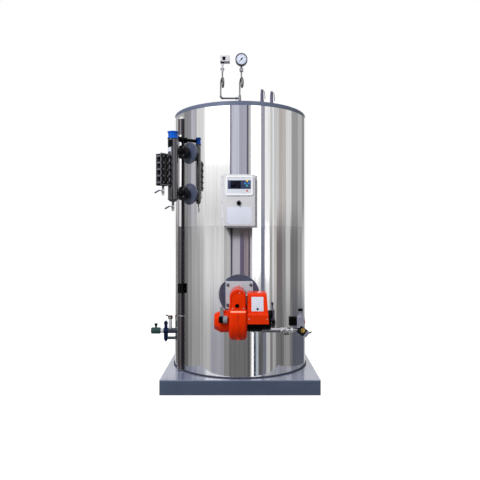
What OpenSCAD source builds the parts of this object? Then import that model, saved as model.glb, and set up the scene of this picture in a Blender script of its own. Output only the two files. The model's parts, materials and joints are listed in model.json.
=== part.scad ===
// Vertical gas-fired steam boiler on a channel base, in millimetres.
// The origin is the centre of the base's underside, +Z is up and the front faces -Y.
// Pieces on the casing are drawn in a local frame: +X leads outward from the boiler's axis,
// +Y runs along the casing and +Z is up. Angles run from the front towards the left side.

/* [Base] */
// Distance that the square base stands out past the casing
base_out = 40; // [30:1:120]
// Height of the channel frame
channel_h = 104; // [80:2:140]
// Width of a channel's flanges
channel_flange = 50; // [40:1:70]
// Thickness of a channel's web
channel_web = 6; // [4:0.5:10]
// Thickness of a channel's flanges
channel_t = 8; // [6:0.5:12]
// Thickness of the deck plate
deck_t = 8; // [4:1:12]
// Height of the foot ring round the casing
foot_ring_h = 8; // [6:1:30]
// Width of the foot ring
foot_ring_w = 8; // [4:1:16]
// Gap at a welded mitre or cope of the frame
weld_gap = 0.3; // [0.2:0.1:1]

/* [Casing] */
// Outer radius of the casing
casing_r = 550; // [500:5:570]
// Height of the casing above the deck
casing_h = 2021; // [1950:1:2200]
// Thickness of a casing sheet
sheet_t = 1.5; // [1:0.1:3]
// Height of the seam between the two sheets above the deck
seam_h = 1130; // [1000:1:1200]
// Overlap of the two sheets at the seam
seam_lap = 30; // [15:1:60]
// Thickness of the top cover's plate
cover_plate_t = 22; // [10:1:26]
// Height of the top cover's rim
cover_rim_h = 34; // [30:1:50]
// Width of the top cover's rim
cover_rim_w = 12; // [8:1:25]
// Step of the rim in from the casing
cover_inset = 3; // [1:0.5:8]

/* [Outlets on the top] */
// Outer radius of the flue collar
flue_r = 125; // [100:1:150]
// Wall of the flue collar
flue_wall = 4; // [2:0.5:8]
// Height of the flue collar
flue_h = 100; // [70:1:110]
// Radius of the flue flange
flue_flange_r = 160; // [155:1:180]
// Thickness of the flue flange
flue_flange_t = 8; // [5:1:14]
// Bolt circle diameter of the flue flange
flue_pcd = 290; // [284:1:300]
// Radius of the flue flange's bolt holes
flue_hole_r = 6; // [4:0.5:7]
// Outer radius of the steam outlet's pipe
steam_r = 24; // [22:0.5:28]
// Bore radius of the steam outlet
steam_bore_r = 20; // [14:0.5:21]
// Height of the steam outlet
steam_h = 105; // [70:1:110]
// Radius of the steam outlet's flange
steam_flange_r = 75; // [72:1:85]
// Thickness of the steam outlet's flange
steam_flange_t = 18; // [12:1:24]
// Bolt circle diameter of the steam outlet's flange
steam_pcd = 110; // [100:1:116]
// Radius of the steam outlet's bolt holes
steam_hole_r = 9; // [6:0.5:10]
// Place of the steam outlet to the right of the axis
steam_x = -190; // [-230:1:-170]
// Place of the steam outlet behind the axis
steam_y = 240; // [200:1:280]

/* [Cable duct] */
// Angle of the cable duct
duct_angle = 57.5; // [55:0.5:62]
// Width of the cable duct
duct_w = 90; // [80:1:100]
// Depth of the cable duct
duct_depth = 28; // [24:1:34]
// Distance of the duct's top below the casing's top
duct_top_gap = 16; // [10:1:60]
// Height of the duct's wider foot piece above the deck
duct_foot_h = 430; // [300:1:500]
// Step from the foot piece to the duct
duct_step = 1; // [0.5:0.5:3]
// Height of the black gland block's centre above the deck
gland_h = 647; // [560:1:800]
// Height of the black gland block
gland_block_h = 74; // [50:1:90]
// Width of the black gland block
gland_block_w = 46; // [30:1:48]
// Depth of the black gland block in front of the duct
gland_block_d = 18; // [10:1:24]

/* [Level column] */
// Angle of the level column
column_angle = 45; // [42:0.5:46]
// Radius of the column
column_r = 38; // [32:0.5:42]
// Distance of the column's axis from the casing
column_out = 159; // [150:1:175]
// Height of the column's lower edge above the deck
column_low_h = 1327; // [1290:1:1340]
// Length of the column's straight wall
column_len = 453; // [440:1:480]
// Height of the column's dished end
column_end_h = 20; // [12:1:26]
// Radius of the drain nib below the column
column_nib_r = 9; // [7:0.5:12]
// Length of the drain nib
column_nib_h = 12; // [8:1:20]
// Height of the blue electrode cap
cap_h = 54; // [40:1:70]
// Radius of the cap's waist
cap_waist_r = 36; // [28:0.5:37]
// Radius of the cap's lips
cap_lip_r = 41; // [38:0.5:46]
// Height of a lip
cap_lip_h = 8; // [5:1:12]
// Height of the lower branch above the column's lower edge
branch_low_h = 51; // [45:1:80]
// Distance between the two branches
branch_gap = 315; // [290:1:330]
// Outer radius of a branch pipe
branch_r = 17; // [13:0.5:22]
// Radius of a branch flange
branch_flange_r = 52.5; // [45:0.5:58]
// Thickness of a branch flange
branch_flange_t = 16; // [10:0.5:20]
// Gap that the gasket fills
gasket_t = 3; // [1:0.5:5]
// Distance of the gasket from the casing
gasket_out = 62; // [56:1:75]
// Radius of the wall disc round a branch
branch_disc_r = 82.5; // [70:0.5:84]
// Rise of the wall disc at its rim and at the pipe
branch_disc_rise = [4, 22];

/* [Level gauge] */
// Gap between the column and the gauge's clamps
gauge_gap = 12; // [8:0.5:30]
// Width of the gauge across its clamps
gauge_w = 83; // [70:1:90]
// Depth of the gauge across its clamps
gauge_d = 62; // [56:1:70]
// Height of the gauge
gauge_h = 235; // [220:1:260]
// Height of the gauge's lower edge above the column's lower edge
gauge_low_h = 96; // [85:1:110]
// Width of the gauge's body
gauge_body_w = 46; // [40:1:56]
// Height of the glass
glass_h = 164; // [120:1:180]
// Width of the glass
glass_w = 14; // [10:1:18]
// Depth of the slot that holds the glass
glass_slot_d = 8; // [5:1:12]
// Number of clamps
clamp_count = 5; // [3:1:6]
// Height of a clamp
clamp_h = 13; // [9:1:16]
// Thickness of a clamp's front and back lips
clamp_lip = 5; // [3:0.5:7]
// Height of the lowest clamp above the gauge's lower edge
clamp_first = 15; // [8:1:20]
// Thickness of the channel that ties the clamps
clamp_tie_t = 4; // [2:0.5:6]

/* [Drain valves and levers] */
// Outer radius of a drain valve
drain_r = 11; // [9:0.5:12]
// Height of a drain valve's body
drain_h = 56; // [46:1:70]
// Distance from a drain valve's top down to its lever's pivot
drain_pivot_h = 32; // [26:1:36]
// Length of a pivot boss in front of a valve's body
boss_out = 4; // [2:0.5:8]
// Radius of a pivot boss
boss_r = 7; // [6:0.5:9]
// Radius of a pivot pin
pin_r = 3; // [2.5:0.1:4]
// Radial clearance of a lever on its pin
pin_clear = 0.15; // [0.1:0.05:0.3]
// Thickness of a lever
lever_t = 4; // [3:0.5:6]
// Width of a lever's arm
lever_w = 6; // [5:0.5:8]
// Width of a lever's grip
grip_w = 10; // [8:0.5:12]
// Points of a drain lever, out from the pivot and up: neck, knee and tip
drain_lever_path = [[14, 12], [25, 12], [55, -5]];
// Points of the vent lever
vent_lever_path = [[9, 10], [18, 15], [31, 20]];

/* [Control box] */
// Place of the control box and the burner to the right of the axis
front_x = -5; // [-12:1:12]
// Width of the control box
box_w = 228; // [220:1:260]
// Height of the control box
box_h = 370; // [350:1:400]
// Distance of the box's front from the casing
box_out = 119; // [100:1:140]
// Height of the box's lower edge above the deck
box_low_h = 1123; // [1100:1:1180]
// Width of the flange that the box is screwed on with
box_flange_w = 271; // [262:1:300]
// Thickness of that flange
box_flange_t = 3; // [2:0.5:5]
// Rise of the flange above and below the box
box_flange_rise = 9; // [4:1:16]
// Radius of the box's front corners
box_corner_r = 6; // [3:0.5:12]
// Width of the display unit
display_w = 195; // [180:1:206]
// Height of the display unit
display_h = 141; // [130:1:150]
// Thickness of the display unit
display_t = 10; // [7:1:14]
// Height of the display unit's centre above the box's lower edge
display_up = 288; // [270:1:290]
// Width of the display unit's frame
display_frame = 13; // [9:0.5:16]
// Depth of the display panel in its frame
display_recess = 4; // [2:0.5:5]
// Radius of the selector switch
selector_r = 15; // [12:0.5:18]
// Place of the selector to the right of the box's middle
selector_x = -3; // [-20:1:20]
// Height of the selector above the box's lower edge
selector_up = 164; // [160:1:190]
// Length of the selector's collar
collar_t = 4; // [2:0.5:6]
// Length of the selector's knob
knob_t = 18; // [12:0.5:24]
// Radius of the selector's shaft
shaft_r = 4; // [3:0.5:5]

/* [Burner] */
// Height of the burner's axis above the deck
burner_h = 620; // [600:1:680]
// Radius of the burner's wall disc
burner_disc_r = 150; // [146:1:170]
// Rise of the wall disc in front of the casing
burner_disc_t = 12; // [8:1:20]
// Width and height of the burner plate
burner_plate_w = 202; // [190:1:205]
// Thickness of the burner plate
burner_plate_t = 12; // [8:1:16]
// Corner radius of the burner plate
burner_plate_r = 8; // [4:1:14]
// Place of the burner housing to the right of the plate's middle
housing_x = -9; // [-14:1:6]
// Radius of the arched head casing
head_r = 57; // [50:0.5:62]
// Rise of the arch's centre above the burner's axis
head_up = 8; // [0:1:14]
// Length of the head casing
head_len = 269; // [250:1:290]
// Length of the bevel on the head casing's front
head_bevel = 12; // [6:1:16]
// Radius of the fan's scroll
scroll_r = 131; // [118:1:134]
// Width of the fan's scroll
scroll_w = 126; // [118:1:134]
// Distance of the fan's axis in front of the plate
scroll_out = 163; // [150:1:175]
// Drop of the fan's axis below the burner's axis
scroll_drop = 165; // [155:1:172]
// Radius of the scroll's rounded edges
scroll_edge_r = 26; // [10:1:30]
// Height of the scroll's front ledge above the fan's axis
ledge_up = 88; // [70:1:100]
// Height and depth of the slope on the scroll's ledge
ledge_slope = 18; // [8:1:24]
// Width of the seam rib round the scroll
rib_w = 5; // [3:0.5:8]
// Rise of the seam rib
rib_t = 2; // [1:0.5:4]
// Radius of the sight hole
sight_r = 15; // [10:0.5:18]
// Depth of the sight hole
sight_d = 14; // [8:1:20]
// Drop of the sight hole below the burner's axis
sight_drop = 46; // [40:1:50]
// Radius of the air intake
intake_r = 78; // [70:1:84]
// Length of the air intake's drum
intake_len = 62; // [50:1:80]
// Length of the air intake's faceted end
intake_end = 40; // [28:1:50]
// Radius of the motor
motor_r = 72; // [64:1:78]
// Length of the motor's black barrel
motor_len = 102; // [90:1:110]
// Radius of the motor's end bell
bell_r = 60; // [50:1:62]
// Length of the motor's end bell
bell_len = 64; // [50:1:66]
// Width of the control cover at its top
cover_top_w = 133; // [120:1:138]
// Width of the control cover at its foot
cover_foot_w = 148; // [140:1:156]
// Height of the control cover
cover_h = 209; // [200:1:230]
// Depth of the control cover
cover_d = 205; // [196:1:212]
// Distance of the control cover's front behind the scroll's front
cover_set_back = 14; // [4:1:24]
// Depth, width and height of the air pressure switch's body
air_switch_size = [64, 30, 40];
// Distance of the air pressure switch's middle from the scroll
air_switch_out = 52; // [46:1:58]
// Height of the air pressure switch's middle above the fan's axis
air_switch_up = 26; // [18:1:32]
// Depth that the air pressure switch's body reaches into the intake's outline
air_switch_seat = 26; // [20:1:32]
// Radius of the air pressure switch's cap
air_cap_r = 26; // [20:1:30]
// Length of the air pressure switch's cap
air_cap_len = 28; // [20:1:32]
// Height of the bracket above the air pressure switch's middle
air_bracket_h = 84; // [60:1:96]
// Width of that bracket
air_bracket_w = 24; // [16:1:28]
// Thickness of that bracket
air_bracket_t = 3; // [2:0.5:5]

/* [Gas train] */
// Outer radius of the gas pipe
gas_pipe_r = 13.5; // [12:0.5:15]
// Outer radius of a pipe fitting
gas_fitting_r = 18; // [17:0.5:21]
// Distance of the gas pipe in front of the burner plate
gas_out = 49; // [42:1:52]
// Drop of the gas pipe below the burner's axis
gas_drop = 248; // [244:1:260]
// Place of the rising gas pipe to the right of the plate's middle
gas_riser_x = 86; // [84:1:92]
// Place of the gas cock's middle to the right of the plate's middle
cock_x = 342; // [330:1:360]
// Length of the gas cock between its ends
cock_len = 90; // [80:1:96]
// Radius of the gas cock's ball housing
cock_r = 21; // [19:0.5:23]
// Length of the hexagon at each end of the gas cock
cock_hex_len = 16; // [12:1:20]
// Length of the gas pipe from the cock to the filter block
gas_tail = 47; // [36:1:54]
// Length that the gas pipe's end lies inside the filter block's corner
gas_seat = 6; // [4:0.5:10]
// Bend of the gas pipe's elbows past a fitting's radius
gas_turn = 4; // [3:0.5:10]
// Length, depth and height of the filter block
filter_size = [56, 62, 54];
// Tilt of the filter block
filter_tilt = 38; // [30:1:42]
// Length of the inlet flange on the filter block's end
filter_end = 24; // [16:1:30]
// Thickness of the gas inlet's flange plate
inlet_flange_t = 13; // [10:1:16]
// Height of the plug above the filter block's middle
filter_plug_up = 8; // [0:1:8]
// Radius of the plug on the filter block's front
filter_plug_r = 18.5; // [14:0.5:22]
// Bore radius of the gas inlet
gas_bore_r = 12; // [9:0.5:14]
// Width and depth of the grey gas valve
valve_w = 54; // [48:1:60]
// Distance of the valve's middle from the filter block's middle
valve_shift = 8; // [0:1:14]
// Height of the gas valve's body
valve_h = 76; // [70:1:84]
// Rise of the gas valve's cap above its body
valve_neck_h = 58; // [48:1:66]
// Radius of the gas valve's neck
valve_neck_r = 13; // [10:1:16]
// Height of the coil above the gas valve's lower edge
coil_up = 16; // [14:1:20]
// Width, depth and height of the black coil
coil_size = [56, 45, 63];

/* [Feed water] */
// Angle of the feed-water group
feed_angle = 90; // [84:1:96]
// Height of the feed pipe above the deck
feed_h = 258; // [220:1:320]
// Outer radius of the feed pipe
feed_r = 22.5; // [20:0.5:24]
// Outer radius of the lower return pipe
return_r = 12; // [10:0.5:13]
// Drop of the return pipe below the feed pipe
return_drop = 62; // [58:1:70]
// Distance of the check valve's axis from the casing
check_out = 78; // [74:1:90]
// Radius of the check valve's body
check_r = 17.5; // [15:0.5:20]
// Length of the check valve's tee
tee_len = 36; // [34:1:40]
// Height of the check valve above the feed pipe
check_up = 84; // [70:1:90]
// Drop of the check valve below the feed pipe
check_down = 92; // [86:1:100]
// Length of the union
union_len = 26; // [20:1:30]
// Radius of the union
union_r = 20; // [18:0.5:22]
// Length of the green stop valve
stop_len = 80; // [70:1:90]
// Radius of the green stop valve
stop_r = 27; // [25:0.5:30]
// Height of the stop valve's knob above the feed pipe
stop_stem_h = 60; // [52:1:70]
// Bore radius of the feed inlet
inlet_r = 13; // [10:0.5:16]
// Depth of the feed inlet's bore
inlet_d = 30; // [20:1:36]
// Distance of the vent valve from the casing
vent_out = 40; // [36:1:42]
// Radius of the vent valve
vent_r = 14; // [12:0.5:15]
// Height of the vent valve's pivot above the feed pipe
vent_pivot_h = 114; // [110:1:120]

/* [Instruments] */
// Place of the instruments in front of the axis
instrument_out = 170; // [150:1:200]
// Place of the gauge's stand pipe to the right of the axis
stand_x = -2; // [-10:1:10]
// Place of the pressure switch's riser to the left of the stand pipe
switch_left = 155; // [140:1:170]
// Height of the cross pipe above the top cover's plate
cross_h = 135; // [120:1:150]
// Outer radius of the instrument pipes
tube_r = 7; // [6:0.5:8]
// Radius of the instrument fittings
fitting_r = 11; // [10:0.5:13]
// Radius of a siphon's turn, at the middle of its tube
siphon_turn_r = 38; // [32:1:42]
// Outer radius of a siphon's tube
siphon_r = 6; // [5:0.25:6.5]
// Sideways step of a siphon's tube over one turn
siphon_step = 14; // [13.5:0.5:18]
// Turn of the siphons' plane from the line of sight
siphon_turn = 15; // [0:1:30]
// Height of a siphon's lower straight
siphon_low = 94; // [60:1:110]
// Height of a siphon's upper straight
siphon_high = 96; // [60:1:110]
// Radius of the pressure gauge
dial_r = 49; // [45:0.5:60]
// Depth of the pressure gauge's case
dial_d = 38; // [28:1:46]
// Width of the bezel
dial_bezel = 7; // [4:0.5:9]
// Depth of the dial behind the bezel
dial_recess = 4; // [2:0.5:6]
// Height of the gauge's cock
cock_nut_h = 34; // [28:1:40]
// Radius of the gauge's cock
cock_nut_r = 15; // [12:0.5:18]
// Height of the neck under the gauge
neck_h = 18; // [14:1:26]
// Height of the switch's neck
switch_neck_h = 45; // [24:1:50]
// Width, depth and height of the pressure switch's box
switch_size = [78, 60, 48];
// Place of the switch's box to the right of its neck
switch_shift = 22; // [10:1:28]

/* [Safety valves] */
// Places of the safety valves to the right of the axis and behind it
safety_places = [[180, -150], [262, -95]];
// Height of a safety valve
safety_h = 214; // [190:1:240]
// Radius of a safety valve's nozzle
safety_nozzle_r = 17; // [14:0.5:20]
// Height of a safety valve's nozzle
safety_nozzle_h = 45; // [36:1:50]
// Radius of a safety valve's body
safety_body_r = 26; // [22:0.5:30]
// Heights of the body's straight wall
safety_body_z = [52, 98];
// Heights at which the shoulder starts and the bonnet's wall begins
safety_neck_z = [108, 130];
// Radius of a safety valve's bonnet
safety_bonnet_r = 13; // [11:0.5:15]
// Length of a safety valve's side outlet
safety_outlet = 52; // [40:1:60]
// Points of a test lever, out from the pivot and up
safety_lever_path = [[14, 2], [20, -14], [24, -64]];

/* [Hidden] */
$fn = 72;
// Facets of the large cylinders round the boiler's axis
fine = 180;
// Clearance between pieces that seat on a curved face
clear = 0.3;
// Overlap that makes a cut run past a face
past = 1;

// Width and depth of the square base
base_w = 2 * (casing_r + base_out);

// Heights of the main levels
deck_z = channel_h + deck_t;
casing_top = deck_z + casing_h;
cover_z = casing_top + cover_plate_t;
seam_z = deck_z + seam_h;

// Radii of the nested casing
lower_sheet_r = casing_r - sheet_t - clear;
lower_drum_r = lower_sheet_r - sheet_t - clear;
upper_drum_r = casing_r - sheet_t - clear;

// The duct is a segment of a circle on the casing
duct_r = (duct_w * duct_w / 4 + duct_depth * duct_depth) / (2 * duct_depth);
duct_cx = casing_r + duct_depth - duct_r;
duct_low_z = deck_z + foot_ring_h + clear;
duct_step_z = deck_z + duct_foot_h;
duct_top_z = casing_top - duct_top_gap;
duct_flank = 41.5;
gland_z = deck_z + gland_h;

// The level column and its gauge
column_x = casing_r + column_out;
column_z = deck_z + column_low_h;
column_top = column_z + column_len;
column_foot = column_z - column_end_h - column_nib_h;
branch_z = [column_z + branch_low_h, column_z + branch_low_h + branch_gap];
gasket_x = casing_r + gasket_out;
gauge_x = column_x + column_r + gauge_gap + gauge_w / 2;
gauge_z = column_z + gauge_low_h;
gauge_body_d = gauge_d - 2 * clamp_lip;
gauge_foot = gauge_z - 16;
clamp_pitch = (gauge_h - clamp_h - 2 * clamp_first) / (clamp_count - 1);
gauge_stub_r = 9;
gauge_stub_up = clamp_first + clamp_h / 2 + clamp_pitch / 2;
glass_x = gauge_x - 4;
glass_z = gauge_z + (gauge_h - glass_h) / 2;
glass_slot_w = glass_w + 2 * clear;
column_place = polar(column_angle, column_x);
gauge_place = polar(column_angle, gauge_x);
cap_z = column_top + cap_h / 2;
conduit_r = 12;
conduit_collar_r = 13.5;
conduit_nut_r = 21;
conduit_nut_len = 26;

// The control box
box_z = deck_z + box_low_h;
box_x = casing_r + box_out;
display_z = box_z + display_up;
selector_z = box_z + selector_up;
selector_y = front_x + selector_x;
knob_x = box_x + collar_t + clear;

// The burner
burner_z = deck_z + burner_h;
plate_x = casing_r + burner_disc_t;
head_x = plate_x + burner_plate_t;
head_front = head_x + head_len;
head_y = front_x + housing_x;
head_z = burner_z + head_up;
fan_x = head_x + scroll_out;
fan_z = burner_z - scroll_drop;
scroll_side = scroll_w / 2;
scroll_front = fan_x + scroll_r;
ledge_z = fan_z + ledge_up;
intake_y = head_y - scroll_side;
motor_y = head_y + scroll_side;
cover_back = scroll_front - cover_set_back - cover_d;
cover_foot_z = fan_z - 5;
motor_gap = 2;

// The gas train
gas_x = head_x + gas_out;
gas_z = burner_z - gas_drop;
gas_riser_y = front_x + gas_riser_x;
gas_inlet_z = burner_z;
cock_y = front_x + cock_x;
cock_end_y = cock_y + cock_len / 2;
block_y = cock_end_y + gas_tail + filter_size[0] / 2 * cos(filter_tilt) - gas_seat;
block_z = gas_z - 4;
handle_drop = cock_r + boss_out;
valve_y = block_y - valve_shift;
valve_z = block_z + filter_size[2] / 2 - 4;

// The feed-water group
feed_z = deck_z + feed_h;
return_z = feed_z - return_drop;
check_x = casing_r + check_out;
tee_end = check_x + tee_len / 2;
union_end = tee_end + union_len;
stop_end = union_end + stop_len;
vent_x = casing_r + vent_out;
vent_pivot_z = feed_z + vent_pivot_h;
vent_place = polar(feed_angle, vent_x);
vent_hex_r = 19;

// The instruments
cross_z = cover_z + cross_h;
switch_x = stand_x - switch_left;
siphon_z = cross_z + 24;
siphon_top = siphon_z + siphon_low + siphon_high;
siphon_side = [cos(siphon_turn), sin(siphon_turn)];
siphon_away = [sin(siphon_turn), -cos(siphon_turn)];
siphon_shift = siphon_step * siphon_side;
dial_x = stand_x + siphon_shift[0];
dial_y = siphon_shift[1] - instrument_out;
dial_z = siphon_top + cock_nut_h + neck_h + dial_r;

// The safety valves' pivots
safety_pivot_z = cover_z + safety_h - 20;

function polar(angle, r) = [-r * sin(angle), -r * cos(angle)];

// Points of a siphon: a straight riser, one turn that steps sideways, and a straight again
function siphon_path(steps = 24) = concat(
    [[0, 0, 0]],
    [for (i = [0:steps])
        let (a = 360 * i / steps,
             away = siphon_turn_r * (1 - cos(a)) * siphon_away,
             side = siphon_step * i / steps * siphon_side)
        [away[0] + side[0], away[1] + side[1], siphon_low + siphon_turn_r * sin(a)]],
    [[siphon_shift[0], siphon_shift[1], siphon_low + siphon_high]]
);

function unit(v) = v / norm(v);

// Direction of a path at one of its points
function path_dir(path, i) = unit(path[min(i + 1, len(path) - 1)] - path[max(i - 1, 0)]);

// A tube swept along a path whose plane holds no vector close to side
module swept_tube(path, r, side, sides = 12) {
    rings = len(path);
    points = [for (i = [0:rings - 1])
        let (t = i == 0 || i == rings - 1 ? [0, 0, 1] : path_dir(path, i),
             u = unit(side - (side * t) * t),
             v = cross(t, u))
        for (j = [0:sides - 1])
            path[i] + r * (cos(360 * j / sides) * u + sin(360 * j / sides) * v)];
    walls = [for (i = [0:rings - 2], j = [0:sides - 1])
        let (k = (j + 1) % sides)
        [i * sides + j, (i + 1) * sides + j, (i + 1) * sides + k, i * sides + k]];
    ends = [[for (j = [0:sides - 1]) j],
            [for (j = [sides - 1:-1:0]) (rings - 1) * sides + j]];
    polyhedron(points, concat(walls, ends), convexity = 4);
}

module at_casing(angle) rotate([0, 0, 270 - angle]) children();

// A round bar along +X from x0 to x1
module bar(r, x0, x1) translate([x0, 0, 0]) rotate([0, 90, 0]) cylinder(r = r, h = x1 - x0);

// A round bar along +Y from y0 to y1
module bar_y(r, y0, y1) translate([0, y1, 0]) rotate([90, 0, 0]) cylinder(r = r, h = y1 - y0);

// A block centred across Y, from x0 to x1 and from z0 to z1
module block(x0, x1, w, z0, z1) translate([x0, -w / 2, z0]) cube([x1 - x0, w, z1 - z0]);

// A hexagon nut with its axis along +Z and flat ends
module hex(r, h) cylinder(r = r, h = h, $fn = 6);

module rounded_rect(w, h, r) {
    square([w - 2 * r, h], center = true);
    square([w, h - 2 * r], center = true);
    for (sx = [-1, 1], sy = [-1, 1])
        translate([sx * (w / 2 - r), sy * (h / 2 - r)]) circle(r = r);
}

// An upright plate: its outline lies across Y and Z and its thickness along +X
module upright(t) rotate([90, 0, 90]) linear_extrude(t) children();

// What the casing fills, with the seat clearance, so that pieces are cut to seat on it
module inside_casing() {
    translate([0, 0, -past]) cylinder(r = lower_sheet_r + clear, h = seam_z + 2 * past, $fn = fine);
    translate([0, 0, seam_z - clear]) cylinder(r = casing_r + clear, h = casing_h, $fn = fine);
}

// A pivot along -Y: boss, pin and the nut that holds the lever
module lever_pivot(body_r) {
    front = body_r + boss_out;
    rotate([90, 0, 0]) cylinder(r = boss_r, h = front);
    rotate([90, 0, 0]) cylinder(r = pin_r, h = front + lever_t + 3 * clear + boss_out);
    translate([0, -front - lever_t - 2 * clear, 0]) rotate([90, 0, 0]) hex(boss_r - 1, boss_out);
}

// A bar of the lever's outline between two points
module lever_bar(a, b, w) {
    d = b - a;
    translate(a) rotate(atan2(d[1], d[0])) {
        translate([0, -w / 2]) square([norm(d), w]);
        translate([norm(d), 0]) circle(r = w / 2);
    }
}

// A lever in front of its valve, bent along its path, with a hole for the pin
module lever(body_r, path, end_w) {
    translate([0, -body_r - boss_out - clear, 0]) rotate([90, 0, 0]) linear_extrude(lever_t) {
        difference() {
            union() {
                circle(r = boss_r);
                lever_bar([0, 0], path[0], lever_w);
                lever_bar(path[0], path[1], lever_w);
                lever_bar(path[1], path[2], end_w);
            }
            circle(r = pin_r + pin_clear);
        }
    }
}

// A slab along one side of the base, mitred at both ends and w wide
module mitred_slab(w, z0, z1) {
    half = base_w / 2;
    mitre = weld_gap / sqrt(2);
    translate([0, 0, z0]) linear_extrude(z1 - z0) polygon([
        [half, -half + mitre], [half, half - mitre],
        [half - w, half - w - mitre], [half - w, w - half + mitre],
    ]);
}

module base_channels() {
    color("slategray") for (turn = [0:90:270]) rotate([0, 0, turn]) {
        mitred_slab(channel_flange, 0, channel_t);
        mitred_slab(channel_flange, channel_h - channel_t, channel_h);
        mitred_slab(channel_web, 0, channel_h);
    }
}

// A beam whose flanges run from f0 to f1 and whose coped web runs from w0 to w1
module coped_beam(f0, f1, w0, w1) {
    block(f0, f1, channel_flange, 0, channel_t);
    block(f0, f1, channel_flange, channel_h - channel_t, channel_h);
    block(f0, f1, channel_web, 0, channel_h);
    block(w0, w1, channel_web, channel_t + weld_gap, channel_h - channel_t - weld_gap);
}

// One beam from side to side and two half beams that meet it
module base_beams() {
    flange_end = base_w / 2 - channel_flange - weld_gap;
    web_end = base_w / 2 - channel_web - weld_gap;
    color("slategray") {
        coped_beam(-flange_end, flange_end, -web_end, web_end);
        for (turn = [90, 270]) rotate([0, 0, turn])
            coped_beam(channel_flange / 2 + weld_gap, flange_end, channel_web / 2 + weld_gap, web_end);
    }
}

module base_deck() {
    color("lightsteelblue") translate([-base_w / 2, -base_w / 2, channel_h])
        cube([base_w, base_w, deck_t]);
}

module foot_ring() {
    inner = lower_sheet_r + clear;
    color("darkslateblue") translate([0, 0, deck_z]) difference() {
        cylinder(r = inner + foot_ring_w, h = foot_ring_h, $fn = fine);
        translate([0, 0, -past]) cylinder(r = inner, h = foot_ring_h + 2 * past, $fn = fine);
    }
}

module insulated_drum() {
    step_z = seam_z + seam_lap + clear;
    color("wheat") {
        translate([0, 0, deck_z]) cylinder(r = lower_drum_r, h = casing_h, $fn = fine);
        translate([0, 0, step_z]) cylinder(r = upper_drum_r, h = casing_top - step_z, $fn = fine);
    }
}

module casing_sheet(r, z0, z1) {
    translate([0, 0, z0]) difference() {
        cylinder(r = r, h = z1 - z0, $fn = fine);
        translate([0, 0, -past]) cylinder(r = r - sheet_t, h = z1 - z0 + 2 * past, $fn = fine);
    }
}

module lower_casing() color("gainsboro") casing_sheet(lower_sheet_r, deck_z, seam_z + seam_lap);

module upper_casing() color("gainsboro") casing_sheet(casing_r, seam_z, casing_top);

module top_cover() {
    rim_r = casing_r - cover_inset;
    lip_r = cover_rim_w / 2;
    color("slategray") translate([0, 0, casing_top]) {
        cylinder(r = rim_r, h = cover_plate_t, $fn = fine);
        rotate_extrude($fn = fine) {
            translate([rim_r - cover_rim_w, 0]) square([cover_rim_w, cover_rim_h - lip_r]);
            translate([rim_r - lip_r, cover_rim_h - lip_r]) circle(r = lip_r);
        }
    }
}

// Holes on a bolt circle, cut down from the height z
module bolt_circle(pcd, count, r, z, depth) {
    for (i = [0:count - 1]) rotate([0, 0, 360 * (i + 0.5) / count])
        translate([pcd / 2, 0, z - depth]) cylinder(r = r, h = depth + past);
}

module flue_collar() {
    color("silver") translate([0, 0, cover_z]) difference() {
        union() {
            cylinder(r = flue_r, h = flue_h, $fn = fine);
            translate([0, 0, flue_h - flue_flange_t])
                cylinder(r = flue_flange_r, h = flue_flange_t, $fn = fine);
        }
        translate([0, 0, -past]) cylinder(r = flue_r - flue_wall, h = flue_h + 2 * past, $fn = fine);
        bolt_circle(flue_pcd, 8, flue_hole_r, flue_h, flue_flange_t + past);
    }
}

module steam_outlet() {
    color("slategray") translate([steam_x, steam_y, cover_z]) difference() {
        union() {
            cylinder(r = steam_r, h = steam_h);
            translate([0, 0, steam_h - steam_flange_t])
                cylinder(r = steam_flange_r, h = steam_flange_t);
        }
        translate([0, 0, -past]) cylinder(r = steam_bore_r, h = steam_h + 2 * past);
        bolt_circle(steam_pcd, 4, steam_hole_r, steam_h, steam_flange_t + past);
    }
}

// A round bar with a domed top, from z0 to z1
module bullet(r, z0, z1) {
    translate([0, 0, z0]) rotate_extrude() {
        square([r, z1 - z0 - r]);
        translate([0, z1 - z0 - r]) intersection() {
            circle(r = r);
            square([r, r]);
        }
    }
}

module cable_duct() {
    color("silver") at_casing(duct_angle) difference() {
        translate([duct_cx, 0, 0]) {
            bullet(duct_r, duct_low_z, duct_top_z);
            translate([0, 0, duct_low_z])
                cylinder(r = duct_r + duct_step, h = duct_step_z - duct_low_z);
        }
        inside_casing();
    }
}

module duct_glands() {
    duct_place = polar(duct_angle, duct_cx);
    d = duct_place - column_place;
    reach = norm(d) - duct_r - clear;
    color("black") {
        at_casing(duct_angle) difference() {
            translate([duct_cx, 0, 0]) rotate([0, 0, duct_flank])
                block(duct_r - 6, duct_r + gland_block_d, gland_block_w,
                    gland_z - gland_block_h / 2, gland_z + gland_block_h / 2);
            translate([duct_cx, 0, duct_low_z])
                cylinder(r = duct_r + clear, h = duct_top_z - duct_low_z);
            inside_casing();
        }
        // The conduit from the electrode cap to the duct
        difference() {
            translate([column_place[0], column_place[1], cap_z])
                rotate([0, 0, atan2(d[1], d[0])]) {
                    bar(conduit_r, cap_waist_r - 2, norm(d) - duct_r + 2);
                    bar(conduit_nut_r, reach - conduit_nut_len, norm(d) - duct_r + 6);
                    bar(conduit_collar_r, cap_waist_r - 4, cap_lip_r + 12);
                }
            translate([column_place[0], column_place[1], column_top - past])
                cylinder(r = cap_waist_r + clear, h = cap_h + 2 * past);
            translate([duct_place[0], duct_place[1], duct_low_z])
                cylinder(r = duct_r + clear, h = duct_top_z - duct_low_z);
            inside_casing();
        }
    }
}

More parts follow.
